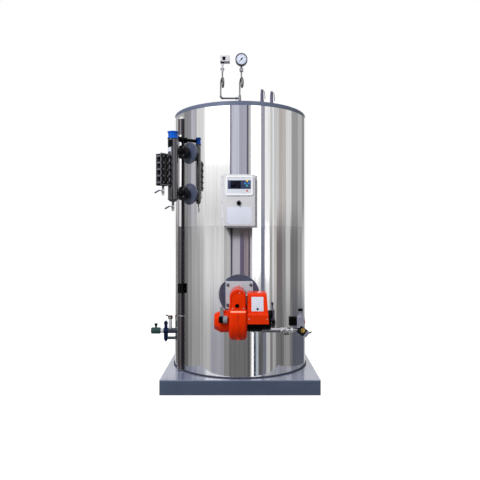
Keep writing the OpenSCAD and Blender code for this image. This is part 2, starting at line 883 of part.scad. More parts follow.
module level_column() {
    color("dimgray") at_casing(column_angle) translate([column_x, 0, column_foot])
        rotate_extrude() polygon([
            [0, 0], [column_nib_r, 0], [column_nib_r, column_nib_h],
            [column_r * 0.72, column_nib_h + column_end_h * 0.35],
            [column_r, column_nib_h + column_end_h],
            [column_r, column_top - column_foot], [0, column_top - column_foot],
        ]);
}

module column_cap() {
    bevel = cap_lip_r - cap_waist_r;
    color("royalblue") at_casing(column_angle) translate([column_x, 0, column_top])
        rotate_extrude() polygon([
            [0, 0], [cap_lip_r, 0], [cap_lip_r, cap_lip_h], [cap_waist_r, cap_lip_h + bevel],
            [cap_waist_r, cap_h - cap_lip_h - bevel], [cap_lip_r, cap_h - cap_lip_h],
            [cap_lip_r, cap_h], [0, cap_h],
        ]);
}

module level_branches() {
    color("black") at_casing(column_angle) for (z = branch_z) translate([0, 0, z])
        difference() {
            union() {
                bar(branch_r, casing_r - 6, column_x);
                for (side = [-1, 1])
                    translate([gasket_x + side * (branch_flange_t + gasket_t) / 2, 0, 0])
                        bar(branch_flange_r, -branch_flange_t / 2, branch_flange_t / 2);
                bar(branch_flange_r - 14, gasket_x - gasket_t, gasket_x + gasket_t);
            }
            translate([0, 0, -z]) inside_casing();
            translate([column_x, 0, -branch_flange_r])
                cylinder(r = column_r + clear, h = 2 * branch_flange_r);
        }
}

// What the cable duct fills, with the seat clearance
module inside_duct() {
    at_casing(duct_angle) translate([duct_cx, 0, duct_low_z])
        cylinder(r = duct_r + duct_step + clear, h = duct_top_z - duct_low_z);
}

module wall_discs() {
    color("slategray") {
        // The discs round the branches are trimmed where the cable duct passes
        for (z = branch_z) difference() {
            at_casing(column_angle) translate([0, 0, z]) rotate([0, 90, 0]) rotate_extrude() polygon([
                [branch_r + clear, casing_r - 12], [branch_disc_r, casing_r - 12],
                [branch_disc_r, casing_r + branch_disc_rise[0]],
                [branch_r + 12, casing_r + branch_disc_rise[1]],
                [branch_r + clear, casing_r + branch_disc_rise[1]],
            ]);
            inside_casing();
            inside_duct();
        }
        at_casing(0) translate([0, front_x, 0]) difference() {
            translate([0, 0, burner_z]) bar(burner_disc_r, casing_r - 30, plate_x);
            translate([0, -front_x, 0]) inside_casing();
        }
    }
}

module level_gauge_body() {
    face = gauge_body_d / 2;
    color("dimgray") at_casing(column_angle) {
        difference() {
            translate([gauge_x, 0, 0])
                block(-gauge_body_w / 2, gauge_body_w / 2, gauge_body_d, gauge_z, gauge_z + gauge_h);
            translate([glass_x - glass_slot_w / 2, face - glass_slot_d, glass_z - clear])
                cube([glass_slot_w, glass_slot_d + past, glass_h + 2 * clear]);
        }
        // Stubs to the column above and below the glass
        difference() {
            for (z = [gauge_z + gauge_stub_up, gauge_z + gauge_h - gauge_stub_up])
                translate([0, 0, z]) bar(gauge_stub_r, column_x, gauge_x);
            translate([column_x, 0, gauge_z - past])
                cylinder(r = column_r + clear, h = gauge_h + 2 * past);
        }
        translate([gauge_x, 0, gauge_foot]) cylinder(r = 8, h = gauge_z - gauge_foot + past);
    }
}

module level_gauge_clamps() {
    opening = gauge_body_w * 0.62;
    fit_w = gauge_body_w + 2 * clear;
    fit_d = gauge_body_d + 2 * clear;
    color("gray") at_casing(column_angle) translate([gauge_x, 0, gauge_z]) {
        for (i = [0:clamp_count - 1]) translate([0, 0, clamp_first + i * clamp_pitch]) difference() {
            block(-gauge_w / 2, gauge_w / 2, gauge_d, 0, clamp_h);
            block(-fit_w / 2, fit_w / 2, fit_d, -past, clamp_h + past);
            translate([glass_x - gauge_x, gauge_d / 2, 0])
                block(-opening / 2, opening / 2, gauge_d, -past, clamp_h + past);
        }
        // A backing channel ties the clamps: a rear plate, and a side plate that the stubs pass
        translate([0, -(gauge_d - clamp_tie_t) / 2, 0])
            block(-gauge_w / 2, gauge_w / 2, clamp_tie_t, 0, gauge_h);
        difference() {
            translate([-(gauge_w - clamp_tie_t) / 2, 0, 0])
                block(-clamp_tie_t / 2, clamp_tie_t / 2, gauge_d, 0, gauge_h);
            for (z = [gauge_stub_up, gauge_h - gauge_stub_up])
                translate([0, 0, z]) bar(gauge_stub_r + clear, -gauge_w, 0);
        }
    }
}

module gauge_glass() {
    color("black") at_casing(column_angle)
        translate([glass_x - glass_w / 2, gauge_body_d / 2 - glass_slot_d + clear, glass_z])
            cube([glass_w, glass_slot_d - 2, glass_h]);
}

// A vertical drain valve with hexagon ends, its top at the origin
module drain_body() {
    translate([0, 0, -drain_h]) cylinder(r = drain_r - 2, h = drain_h);
    translate([0, 0, -12]) hex(drain_r, 12);
    translate([0, 0, -drain_pivot_h - drain_r]) cylinder(r = drain_r, h = 2 * drain_r);
    translate([0, 0, -drain_pivot_h]) lever_pivot(drain_r);
}

module drain_valves() {
    color("silver") {
        translate([gauge_place[0], gauge_place[1], gauge_foot]) drain_body();
        translate([column_place[0], column_place[1], column_foot]) drain_body();
    }
}

module drain_lever(place, top_z) {
    color("steelblue") translate([place[0], place[1], top_z - drain_pivot_h])
        mirror([1, 0, 0]) lever(drain_r, drain_lever_path, grip_w);
}

module gauge_drain_lever() drain_lever(gauge_place, gauge_foot);

module column_drain_lever() drain_lever(column_place, column_foot);

module control_box() {
    flange_x = casing_r + box_flange_t;
    color("lightgray") at_casing(0) {
        difference() {
            union() {
                translate([0, front_x, box_z]) {
                    depth = box_out + 40;
                    translate([box_x - depth / 2, 0, 0]) linear_extrude(box_h)
                        rounded_rect(depth, box_w, box_corner_r);
                }
                intersection() {
                    translate([0, 0, box_z - box_flange_rise])
                        cylinder(r = flange_x, h = box_h + 2 * box_flange_rise, $fn = fine);
                    translate([0, front_x, 0])
                        block(casing_r / 2, casing_r * 2, box_flange_w, box_z - box_flange_rise,
                            box_z + box_h + box_flange_rise);
                }
                translate([0, selector_y, selector_z]) bar(selector_r + 2, box_x - 2, box_x + collar_t);
            }
            inside_casing();
            translate([0, selector_y, selector_z])
                bar(shaft_r + pin_clear, box_x - 14, box_x + collar_t + past);
        }
    }
}

module display_unit() {
    panel_w = display_w - 2 * display_frame;
    panel_h = display_h - 2 * display_frame;
    color("white") at_casing(0) translate([box_x, front_x, display_z]) difference() {
        upright(display_t) rounded_rect(display_w, display_h, 14);
        translate([display_t - display_recess, 0, 0])
            upright(display_recess + past) rounded_rect(panel_w, panel_h, 6);
    }
}

module selector_knob() {
    color("black") at_casing(0) translate([knob_x, selector_y, selector_z]) {
        bar(selector_r, 0, knob_t * 0.45);
        bar(shaft_r, -collar_t - 8, knob_t * 0.3);
        block(0, knob_t, selector_r * 0.55, -selector_r, selector_r);
    }
}

module burner_plate() {
    color("lightgray") at_casing(0) translate([plate_x, front_x, burner_z])
        upright(burner_plate_t) rounded_rect(burner_plate_w, burner_plate_w, burner_plate_r);
}

// The arched outline of the burner's head casing, drawn across Y and Z
module arch(r, foot) {
    circle(r = r);
    translate([-r, -foot]) square([2 * r, foot]);
}

module burner_housing() {
    foot = head_z - fan_z;
    color("orangered") at_casing(0) translate([0, head_y, 0]) difference() {
        union() {
            translate([head_x, 0, head_z]) {
                upright(head_len - head_bevel) arch(head_r, foot);
                upright(head_len) arch(head_r - head_bevel / 2, foot);
            }
            translate([fan_x, 0, fan_z]) rotate([90, 0, 0]) {
                translate([0, 0, -scroll_side]) rotate_extrude()
                    scroll_section(scroll_r, scroll_w, scroll_edge_r);
                translate([0, 0, -rib_w / 2]) cylinder(r = scroll_r + rib_t, h = rib_w);
            }
            // The straight front above the fan's axis, with a sloping ledge on top
            intersection() {
                translate([fan_x, -scroll_side, fan_z])
                    linear_extrude(ledge_up) scroll_section(scroll_r, scroll_w, scroll_edge_r);
                translate([0, scroll_side, 0]) rotate([90, 0, 0]) linear_extrude(scroll_w) polygon([
                    [fan_x, fan_z - past], [scroll_front + past, fan_z - past],
                    [scroll_front + past, ledge_z - ledge_slope - past],
                    [scroll_front - ledge_slope, ledge_z], [fan_x, ledge_z],
                ]);
            }
            translate([0, 0, fan_z - scroll_r * 0.83])
                bar(8, fan_x, fan_x + scroll_r * 0.56 + 14);
        }
        translate([0, -5, burner_z - sight_drop]) bar(sight_r, head_front - sight_d, head_front + past);
    }
}

// Half the scroll's cross-section, with its outer corners rounded
module scroll_section(r, w, edge) {
    square([r - edge, w]);
    translate([0, edge]) square([r, w - 2 * edge]);
    for (y = [edge, w - edge]) translate([r - edge, y]) circle(r = edge);
}

module burner_air_intake() {
    facets = 8;
    color("orangered") at_casing(0) translate([fan_x, 0, fan_z]) {
        bar_y(intake_r, intake_y - intake_len, intake_y);
        translate([0, intake_y - intake_len, 0]) rotate([90, 0, 0]) rotate([0, 0, 180 / facets])
            cylinder(r1 = intake_r - 1, r2 = intake_r * 0.7, h = intake_end, $fn = facets);
    }
}

module burner_motor() {
    color("black") at_casing(0) translate([fan_x, 0, fan_z]) {
        bar_y(motor_r, motor_y, motor_y + motor_len);
        bar_y(bell_r, motor_y + motor_len - past, motor_y + motor_len + bell_len);
    }
}

module burner_control_cover() {
    top_z = cover_foot_z + cover_h;
    front = cover_back + cover_d;
    left = motor_y + clear;
    color("tomato") at_casing(0) difference() {
        intersection() {
            translate([cover_back - past, 0, 0]) upright(cover_d + 20) polygon([
                [left, cover_foot_z], [left + cover_foot_w, cover_foot_z],
                [left + cover_top_w, top_z], [left + 3, top_z],
            ]);
            translate([0, left + cover_foot_w + past, 0]) rotate([90, 0, 0])
                linear_extrude(cover_foot_w + 2 * past) polygon([
                    [cover_back, cover_foot_z], [front - 6, cover_foot_z],
                    [front, cover_foot_z + cover_h * 0.3], [front - 20, cover_foot_z + cover_h * 0.36],
                    [front - 34, top_z - 14], [front - 48, top_z], [cover_back, top_z],
                ]);
        }
        translate([fan_x, 0, fan_z]) bar_y(motor_r + motor_gap, motor_y - past, left + 2 * cover_foot_w);
    }
}

module air_pressure_switch() {
    size = air_switch_size;
    switch_y = intake_y - air_switch_out;
    switch_z = fan_z + air_switch_up;
    seat = fan_x + intake_r - air_switch_seat;
    bracket_x = fan_x + intake_r - scroll_edge_r / 2 - air_bracket_t;
    color("gray") at_casing(0) difference() {
        union() {
            translate([0, switch_y, switch_z])
                block(seat, seat + size[0], size[1], -size[2] / 2, size[2] / 2);
            translate([seat + size[0] - air_cap_r + 8, 0, switch_z])
                bar_y(air_cap_r, switch_y + size[1] / 2 - past, switch_y + size[1] / 2 - past + air_cap_len);
            translate([0, switch_y + 3, 0]) block(bracket_x, bracket_x + air_bracket_t,
                air_bracket_w, switch_z, switch_z + air_bracket_h);
        }
        translate([fan_x, 0, fan_z]) bar_y(intake_r + clear, intake_y - 2 * intake_len, intake_y + 10);
        translate([fan_x, 0, fan_z]) bar_y(scroll_r + rib_t + clear, intake_y - clear, intake_y + 80);
    }
}

// A quarter-turn pipe elbow in the plane of X and Z, centred on the corner's inside
module elbow(turn_r, r) {
    rotate([90, 0, 0]) rotate_extrude(angle = 90) translate([turn_r, 0]) circle(r = r);
}

module gas_pipe() {
    turn_r = gas_fitting_r + gas_turn;
    color("silver") at_casing(0) translate([gas_x, 0, 0]) {
        // Level run to the filter block, riser and the run into the head casing
        difference() {
            translate([0, 0, gas_z]) bar_y(gas_pipe_r, gas_riser_y + turn_r, block_y);
            translate([0, block_y, block_z]) filter_block(clear);
        }
        translate([0, gas_riser_y, gas_z + turn_r])
            cylinder(r = gas_pipe_r, h = gas_inlet_z - gas_z - 2 * turn_r);
        translate([0, 0, gas_inlet_z]) bar_y(gas_pipe_r, head_y + head_r, gas_riser_y - turn_r);
        translate([0, gas_riser_y + turn_r, gas_z + turn_r]) rotate([180, 0, 0])
            rotate([0, 0, 90]) elbow(turn_r, gas_fitting_r);
        translate([0, gas_riser_y - turn_r, gas_inlet_z - turn_r]) rotate([0, 0, 90])
            elbow(turn_r, gas_fitting_r);
        // The gas cock with its two unions
        translate([0, cock_y, gas_z]) {
            sphere(r = cock_r);
            for (side = [-1, 1]) mirror([0, (1 - side) / 2, 0]) {
                bar_y(gas_fitting_r, 0, cock_len / 2);
                translate([0, cock_len / 2 - cock_hex_len, 0]) rotate([-90, 0, 0])
                    hex(cock_r, cock_hex_len);
            }
            translate([0, 0, -handle_drop]) cylinder(r = boss_r, h = handle_drop);
            translate([0, 0, -handle_drop - lever_t]) cylinder(r = pin_r, h = lever_t + past);
        }
    }
}

module gas_cock_handle() {
    color("black") at_casing(0)
        translate([gas_x, cock_y, gas_z - handle_drop - clear - 2 * lever_t]) difference() {
            union() {
                cylinder(r = boss_r + 1, h = 2 * lever_t);
                translate([-5, -20, 0]) cube([10, 40, 2 * lever_t]);
            }
            translate([0, 0, lever_t - clear]) cylinder(r = pin_r + pin_clear, h = 2 * lever_t);
        }
}

// The tilted filter block, larger by grow on every side
module filter_block(grow) {
    size = [filter_size[1], filter_size[0], filter_size[2]] + [2, 2, 2] * grow;
    rotate([-filter_tilt, 0, 0]) translate(-size / 2) cube(size);
}

module gas_filter() {
    color("black") at_casing(0) translate([gas_x, block_y, block_z]) {
        filter_block(0);
        rotate([-filter_tilt, 0, 0]) translate([0, 0, filter_plug_up])
            bar(filter_plug_r, 0, filter_size[1] / 2 + 6);
    }
}

// The square inlet flange on the filter block's lower end, with the gas inlet's bore
module gas_inlet_flange() {
    face = filter_size[0] / 2;
    flange_w = filter_size[2] + 4;
    color("lightslategray") at_casing(0) translate([gas_x, block_y, block_z])
        rotate([-filter_tilt, 0, 0]) difference() {
            union() {
                translate([-flange_w / 2, face + clear, -flange_w / 2])
                    cube([flange_w, inlet_flange_t, flange_w]);
                bar_y(gas_bore_r + 8, face + past, face + filter_end);
            }
            bar_y(gas_bore_r, face - past, face + filter_end + past);
        }
}

module gas_valve() {
    color("lightslategray") at_casing(0) translate([gas_x, valve_y, valve_z]) {
        difference() {
            block(-valve_w / 2, valve_w / 2, valve_w, 0, valve_h);
            translate([0, block_y - valve_y, block_z - valve_z]) filter_block(clear);
        }
        translate([0, 0, valve_h]) {
            cylinder(r1 = valve_w * 0.46, r2 = valve_neck_r, h = valve_neck_h * 0.3);
            cylinder(r = valve_neck_r, h = valve_neck_h);
            translate([0, 0, valve_neck_h * 0.6])
                cylinder(r = valve_neck_r + 5, h = valve_neck_h * 0.12);
        }
    }
}

module gas_valve_coil() {
    color("black") at_casing(0)
        translate([gas_x, valve_y - valve_w / 2 - coil_size[0] / 2, valve_z + coil_up])
            block(-coil_size[1] / 2, coil_size[1] / 2, coil_size[0], 0, coil_size[2]);
}

module feed_pipes() {
    color("slategray") at_casing(feed_angle) {
        difference() {
            translate([0, 0, feed_z]) bar(feed_r, casing_r - 6, check_x - tee_len / 2);
            inside_casing();
        }
        difference() {
            translate([0, 0, return_z]) bar(return_r, casing_r - 6, check_x);
            inside_casing();
            translate([check_x, 0, return_z - check_r]) cylinder(r = check_r + clear, h = 2 * check_r);
        }
    }
}

module feed_check_valve() {
    color("midnightblue") at_casing(feed_angle) translate([check_x, 0, feed_z]) {
        bar(feed_r + 2, -tee_len / 2, tee_len / 2);
        rotate_extrude() polygon([
            [0, -check_down], [5, -check_down], [check_r, -check_down + 20], [check_r, 0],
            [check_r - 4, 20], [check_r - 4, check_up - 28], [check_r, check_up - 28],
            [check_r, check_up - 20], [check_r - 6, check_up - 6], [5, check_up], [0, check_up],
        ]);
    }
}

module feed_fittings() {
    color("silver") at_casing(feed_angle) {
        translate([0, 0, feed_z]) translate([tee_end, 0, 0]) rotate([0, 90, 0]) {
            cylinder(r = union_r - 3, h = union_len);
            translate([0, 0, 4]) hex(union_r, union_len - 8);
        }
        difference() {
            translate([vent_x, 0, feed_z]) {
                cylinder(r = vent_r, h = vent_pivot_h - vent_r);
                translate([0, 0, vent_pivot_h - vent_r - past]) hex(vent_hex_r, 2 * vent_r);
            }
            translate([0, 0, feed_z]) bar(feed_r + clear, casing_r - 10, check_x);
        }
    }
    color("silver") translate([vent_place[0], vent_place[1], vent_pivot_z]) lever_pivot(vent_hex_r);
}

module feed_stop_valve() {
    mid = (union_end + stop_end) / 2;
    color("darkgreen") at_casing(feed_angle) translate([0, 0, feed_z]) difference() {
        union() {
            bar(stop_r, union_end + 5, stop_end - 5);
            bar(stop_r - 5, union_end, stop_end);
            translate([mid, 0, 0]) cylinder(r = 8, h = stop_stem_h - 12);
            translate([mid, 0, stop_stem_h - 24]) cylinder(r = 11, h = 24);
        }
        bar(inlet_r, stop_end - inlet_d, stop_end + past);
    }
}

module vent_lever() {
    color("black") translate([vent_place[0], vent_place[1], vent_pivot_z])
        mirror([1, 0, 0]) lever(vent_hex_r, vent_lever_path, grip_w);
}

module instrument_manifold() {
    turn_r = 20;
    color("silver") translate([0, -instrument_out, 0]) {
        // Stand pipe with its tee
        translate([stand_x, 0, cover_z]) cylinder(r = tube_r, h = siphon_z - cover_z);
        translate([stand_x, 0, cross_z - 18]) cylinder(r = fitting_r, h = 42);
        // Cross pipe with its union, and the elbow under the pressure switch
        translate([0, 0, cross_z]) {
            bar(tube_r, switch_x + turn_r, stand_x);
            bar(fitting_r, stand_x - 34, stand_x - 20);
            translate([switch_x + turn_r, 0, turn_r]) rotate([0, 180, 0]) elbow(turn_r, tube_r + 2);
        }
        translate([switch_x, 0, cross_z + turn_r]) cylinder(r = tube_r, h = siphon_z - cross_z - turn_r);
    }
}

module siphons() {
    color("silver") for (x = [stand_x, switch_x]) translate([x, -instrument_out, siphon_z])
        swept_tube(siphon_path(), siphon_r, [siphon_side[0], siphon_side[1], 0]);
}

module pressure_gauge() {
    color("dimgray") {
        translate([dial_x, dial_y, siphon_top]) {
            cylinder(r = 8, h = cock_nut_h + neck_h + past);
            translate([0, 0, 4]) hex(cock_nut_r, cock_nut_h - 4);
        }
        translate([dial_x, dial_y, dial_z]) difference() {
            bar_y(dial_r, -dial_d / 2, dial_d / 2);
            bar_y(dial_r - dial_bezel, -dial_d / 2 - past, -dial_d / 2 + dial_recess);
        }
    }
}

module pressure_switch() {
    neck_x = switch_x + siphon_shift[0];
    color("lightgray") translate([neck_x, dial_y, siphon_top]) {
        cylinder(r1 = 7, r2 = 14, h = 18);
        translate([0, 0, 17]) hex(cock_nut_r, cock_nut_h - 17);
        translate([0, 0, cock_nut_h - past]) cylinder(r = 9, h = switch_neck_h + 2 * past);
        translate([switch_shift - switch_size[0] / 2, -switch_size[1] / 2, cock_nut_h + switch_neck_h])
            cube([switch_size[0], switch_size[1], switch_size[2]]);
    }
}

module safety_valves() {
    base_r = safety_nozzle_r;
    pivot_h = safety_h - 20;
    color("slategray") for (p = safety_places) translate([p[0], p[1], cover_z]) {
        rotate_extrude() polygon([
            [0, 0], [base_r, 0], [base_r, safety_nozzle_h], [safety_body_r, safety_body_z[0]],
            [safety_body_r, safety_body_z[1]], [safety_bonnet_r + 5, safety_neck_z[0]],
            [safety_bonnet_r, safety_neck_z[1]], [safety_bonnet_r, safety_h - 30],
            [safety_bonnet_r - 2, safety_h - 26], [safety_bonnet_r - 2, safety_h - 6],
            [safety_bonnet_r - 6, safety_h], [0, safety_h],
        ]);
        translate([0, 0, (safety_body_z[0] + safety_body_z[1]) / 2]) bar_y(14, 0, safety_outlet);
        translate([0, 0, pivot_h]) lever_pivot(safety_bonnet_r);
    }
}

module safety_lever(p) {
    color("silver") translate([p[0], p[1], safety_pivot_z])
        lever(safety_bonnet_r, safety_lever_path, lever_w);
}

module safety_lever_right() safety_lever(safety_places[1]);

module safety_lever_left() safety_lever(safety_places[0]);

base_channels();
base_beams();
base_deck();
foot_ring();
insulated_drum();
lower_casing();
upper_casing();
top_cover();
flue_collar();
steam_outlet();
cable_duct();
duct_glands();
level_column();
column_cap();
level_branches();
wall_discs();
level_gauge_body();
level_gauge_clamps();
gauge_glass();
drain_valves();
gauge_drain_lever();
column_drain_lever();
control_box();
display_unit();
selector_knob();
burner_plate();
burner_housing();
burner_air_intake();
burner_motor();
burner_control_cover();
air_pressure_switch();
gas_pipe();
gas_cock_handle();
gas_valve();
gas_valve_coil();
gas_filter();
gas_inlet_flange();
feed_pipes();
feed_check_valve();
feed_fittings();
feed_stop_valve();
vent_lever();
instrument_manifold();
siphons();
pressure_gauge();
pressure_switch();
safety_valves();
safety_lever_right();
safety_lever_left();
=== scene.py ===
"""Looks of a vertical gas-fired steam boiler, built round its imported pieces.

Shapes are drawn in millimetres and put into their meshes in metres. Pieces on the casing are drawn in a
wall frame: x runs to the right seen from outside, y runs up and z leads outward from the boiler's axis.
"""

import json
import math

import bmesh
import bpy
import numpy as np
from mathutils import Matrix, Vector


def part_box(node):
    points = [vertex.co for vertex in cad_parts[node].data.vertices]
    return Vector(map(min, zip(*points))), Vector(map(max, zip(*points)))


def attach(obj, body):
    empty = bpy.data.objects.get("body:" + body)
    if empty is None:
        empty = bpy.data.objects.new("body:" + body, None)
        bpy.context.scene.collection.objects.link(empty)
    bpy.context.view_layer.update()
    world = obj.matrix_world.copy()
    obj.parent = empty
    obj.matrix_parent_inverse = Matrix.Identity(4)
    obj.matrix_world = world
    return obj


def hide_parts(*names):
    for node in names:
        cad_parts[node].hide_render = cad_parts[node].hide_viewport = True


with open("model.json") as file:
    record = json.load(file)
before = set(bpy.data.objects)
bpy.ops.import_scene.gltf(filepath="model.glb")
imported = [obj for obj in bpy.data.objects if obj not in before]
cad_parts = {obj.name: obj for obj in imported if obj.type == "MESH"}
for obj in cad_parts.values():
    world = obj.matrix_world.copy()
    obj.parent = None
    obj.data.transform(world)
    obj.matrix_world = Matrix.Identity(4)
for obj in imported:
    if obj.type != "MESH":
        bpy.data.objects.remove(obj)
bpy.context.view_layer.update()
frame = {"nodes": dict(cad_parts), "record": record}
MM = 0.001

# Angles on the casing, from the front towards the left side
DUCT_ANGLE = 57.5
COLUMN_ANGLE = 45.0


def low(node):
    """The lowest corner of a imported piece, in millimetres to a tenth."""
    return np.round(np.array(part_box(node)[0]) / MM, 1)


def high(node):
    """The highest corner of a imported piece, in millimetres to a tenth."""
    return np.round(np.array(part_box(node)[1]) / MM, 1)


def middle(node):
    """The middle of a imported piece's box, in millimetres to a tenth."""
    return np.round(np.mean(np.array(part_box(node)), axis=0) / MM, 1)


# Shapes


def surface(points, close_u=False, close_v=False):
    """Four-sided faces over a grid of points: face i, j joins i, j with i + 1, j, i + 1, j + 1 and i, j + 1.

    The grid may close on itself either way.
    """
    n, m = points.shape[:2]
    index = np.arange(n * m).reshape(n, m)
    if close_u:
        index = np.vstack([index, index[:1]])
    if close_v:
        index = np.hstack([index, index[:, :1]])
    quads = np.stack([index[:-1, :-1], index[1:, :-1], index[1:, 1:], index[:-1, 1:]], axis=-1)
    return points.reshape(-1, 3), quads.reshape(-1, 4).tolist()


def turned(profile, sides=48, hollow=False):
    """A profile of radius r and height h carried round the z axis: x = r cos a, y = r sin a, z = h.

    A hollow shape's profile closes on itself, and a solid one's starts and ends on the axis.
    """
    r, h = np.array(profile, float).T
    a = np.arange(sides) * 2 * np.pi / sides
    rings = np.stack([np.outer(r, np.cos(a)), np.outer(r, np.sin(a)), np.outer(h, np.ones(sides))], -1)
    return surface(rings, close_u=hollow, close_v=True)


def rounded(width, height, radius):
    """Outline of a rectangle whose corners are quarter circles: w / 2 - r + r cos t, h / 2 - r + r sin t."""
    t = np.linspace(0, np.pi / 2, 5)
    arcs = [
        np.stack([sx * (width / 2 - radius) + radius * np.cos(t + turn),
                  sy * (height / 2 - radius) + radius * np.sin(t + turn)], -1)
        for sx, sy, turn in ((1, 1, 0), (-1, 1, np.pi / 2), (-1, -1, np.pi), (1, -1, 1.5 * np.pi))
    ]
    return np.vstack(arcs)


def drawn_in(outline, depth):
    """The outline moved inward by depth, along the mean normal of the two edges at each corner."""
    back = outline - np.roll(outline, 1, 0)
    ahead = np.roll(outline, -1, 0) - outline
    back /= np.linalg.norm(back, axis=1)[:, None]
    ahead /= np.linalg.norm(ahead, axis=1)[:, None]
    mean = back + ahead
    length = np.linalg.norm(mean, axis=1)
    inward = np.stack([-mean[:, 1], mean[:, 0]], -1) / length[:, None]
    return outline + inward * (depth * 2 / length)[:, None]


def slab(outline, z0, z1, edge=1.0):
    """A plate whose rims are rounded: the outline draws in by e (1 - cos t) as the wall climbs by e sin t."""
    outline = np.array(outline, float)
    area = np.sum(outline[:, 0] * np.roll(outline[:, 1], -1) - np.roll(outline[:, 0], -1) * outline[:, 1])
    if area < 0:
        outline = outline[::-1]
    t = np.linspace(0, np.pi / 2, 4)
    rings = [(edge * (1 - np.sin(a)), z0 + edge * (1 - np.cos(a))) for a in t]
    rings += [(edge * (1 - np.cos(a)), z1 - edge * (1 - np.sin(a))) for a in t]
    points = np.stack([
        np.column_stack([drawn_in(outline, inset), np.full(len(outline), z)]) for inset, z in rings
    ])
    verts, faces = surface(points, close_v=True)
    count = len(outline)
    last = len(verts) - count
    return verts, faces + [list(range(count))[::-1], list(range(last, last + count))]


def box(width, height, z0, z1, edge=1.0, corner=None):
    """A slab with the rounded rectangle as its outline, centred on x and y."""
    return slab(rounded(width, height, corner or edge * 1.5), z0, z1, edge)


def disc(radius, z0, z1, edge=0.4, sides=40):
    """A slab with a circle as its outline: x = r cos a, y = r sin a."""
    a = np.arange(sides) * 2 * np.pi / sides
    return slab(radius * np.stack([np.cos(a), np.sin(a)], -1), z0, z1, edge)


def ring(radius, thickness, sides=48, round_sides=10):
    """A round ring about the z axis: a small circle carried round a large one."""
    t = np.arange(round_sides) * 2 * np.pi / round_sides
    return turned(np.stack([radius + thickness * np.cos(t), thickness * np.sin(t)], -1), sides, hollow=True)


def tube(outer, inner, z0, z1):
    """A plain ring with square edges: a rectangle carried round the z axis."""
    return turned([(outer, z0), (outer, z1), (inner, z1), (inner, z0)], 64, hollow=True)


def arc_plate(radius, thickness, a0, a1, z0, z1):
    """A plate bent round the z axis: the rectangle r, z carried from angle a0 to a1, in degrees."""
    a = np.radians(np.linspace(a0, a1, 13))
    loop = np.array([(radius, z0), (radius + thickness, z0), (radius + thickness, z1), (radius, z1)])
    across, along = np.outer(np.cos(a), loop[:, 0]), np.outer(np.sin(a), loop[:, 0])
    verts, faces = surface(np.stack([across, along, np.tile(loop[:, 1], (len(a), 1))], -1), close_v=True)
    return verts, faces + [[0, 1, 2, 3], [len(verts) - i for i in (1, 2, 3, 4)]]


def pipe(path, radius, sides=20):
    """A round bar along a path: each ring stands square to the path and is turned the least from the last."""
    path = np.array(path, float)
    radii = np.broadcast_to(np.array(radius, float), len(path))
    steps = np.diff(path, axis=0)
    steps /= np.linalg.norm(steps, axis=1)[:, None]
    ahead = np.vstack([steps[:1], steps[:-1] + steps[1:], steps[-1:]])
    ahead /= np.linalg.norm(ahead, axis=1)[:, None]
    side = np.cross(ahead[0], [0.31, 0.62, 0.72])
    a = np.arange(sides) * 2 * np.pi / sides
    rings = []
    for point, direction, r in zip(path, ahead, radii):
        side = side - direction * (side @ direction)
        side /= np.linalg.norm(side)
        up = np.cross(direction, side)
        rings.append(point + r * (np.outer(np.cos(a), side) + np.outer(np.sin(a), up)))
    verts, faces = surface(np.stack(rings), close_v=True)
    last = len(verts) - sides
    return verts, faces + [list(range(sides)), list(range(last, last + sides))]


def curve(points, steps):
    """A smooth path through the points: Catmull-Rom pieces, each the cubic that four points give."""
    p = np.array(points, float)
    p = np.vstack([2 * p[0] - p[1], p, 2 * p[-1] - p[-2]])
    t = np.linspace(0, 1, steps, endpoint=False)[:, None]
    parts = [
        0.5 * (2 * b + (c - a) * t + (2 * a - 5 * b + 4 * c - d) * t**2 + (3 * b - a - 3 * c + d) * t**3)
        for a, b, c, d in zip(p[:-3], p[1:-2], p[2:-1], p[3:])
    ]
    return np.vstack([*parts, p[-2:-1]])


def hexagon(radius, height):
    """A hexagon nut or head, turned with six sides, and its top corners cut off by 0.12 of its radius."""
    cut = radius * 0.12
    return turned([(0, 0), (radius, 0), (radius, height - cut), (radius - cut, height), (0, height)], 6)


def dome(radius, height, sides=16):
    """A round head: its radius falls as the cosine while its height grows as the sine."""
    t = np.linspace(0, np.pi / 2, 6)
    return turned([(0, 0)] + list(zip(radius * np.cos(t), height * np.sin(t))), sides)


def rod(radius, z0, z1, sides):
    """A plain round bar: a rectangle turned about the z axis."""
    return turned([(0, z0), (radius, z0), (radius, z1), (0, z1)], sides)


def bolt(radius, height):
    """A hexagon head on its washer, with the end of its thread standing out."""
    washer_t = height * 0.14
    head = placed(hexagon(radius, height * 0.66), matrix(z=washer_t))
    return joined(rod(radius * 1.18, 0, washer_t, 24), head, rod(radius * 0.5, height * 0.7, height, 16))


def pan_screw(radius):
    """A screw's low round head."""
    return dome(radius, radius * 0.55)


def joined(*parts):
    """One shape from several."""
    verts, faces, start = [], [], 0
    for part_verts, part_faces in parts:
        verts.append(part_verts)
        faces += [[start + i for i in face] for face in part_faces]
        start += len(part_verts)
    return np.vstack(verts), faces


def matrix(x=0.0, y=0.0, z=0.0, rx=0.0, ry=0.0, rz=0.0):
    """A turn about x, then y, then z, in degrees, followed by a move."""
    out = np.eye(4)
    for axis, degrees in ((0, rx), (1, ry), (2, rz)):
        c, s = math.cos(math.radians(degrees)), math.sin(math.radians(degrees))
        i, j = [(1, 2), (2, 0), (0, 1)][axis]
        turn = np.eye(4)
        turn[i, i], turn[i, j], turn[j, i], turn[j, j] = c, -s, s, c
        out = turn @ out
    out[:3, 3] = x, y, z
    return out


def placed(part, *matrices):
    """The shape at one place, or repeated at several."""
    verts, faces = part
    full = np.column_stack([verts, np.ones(len(verts))])
    copies = [((full @ m.T)[:, :3], faces) for m in matrices]
    return copies[0] if len(copies) == 1 else joined(*copies)


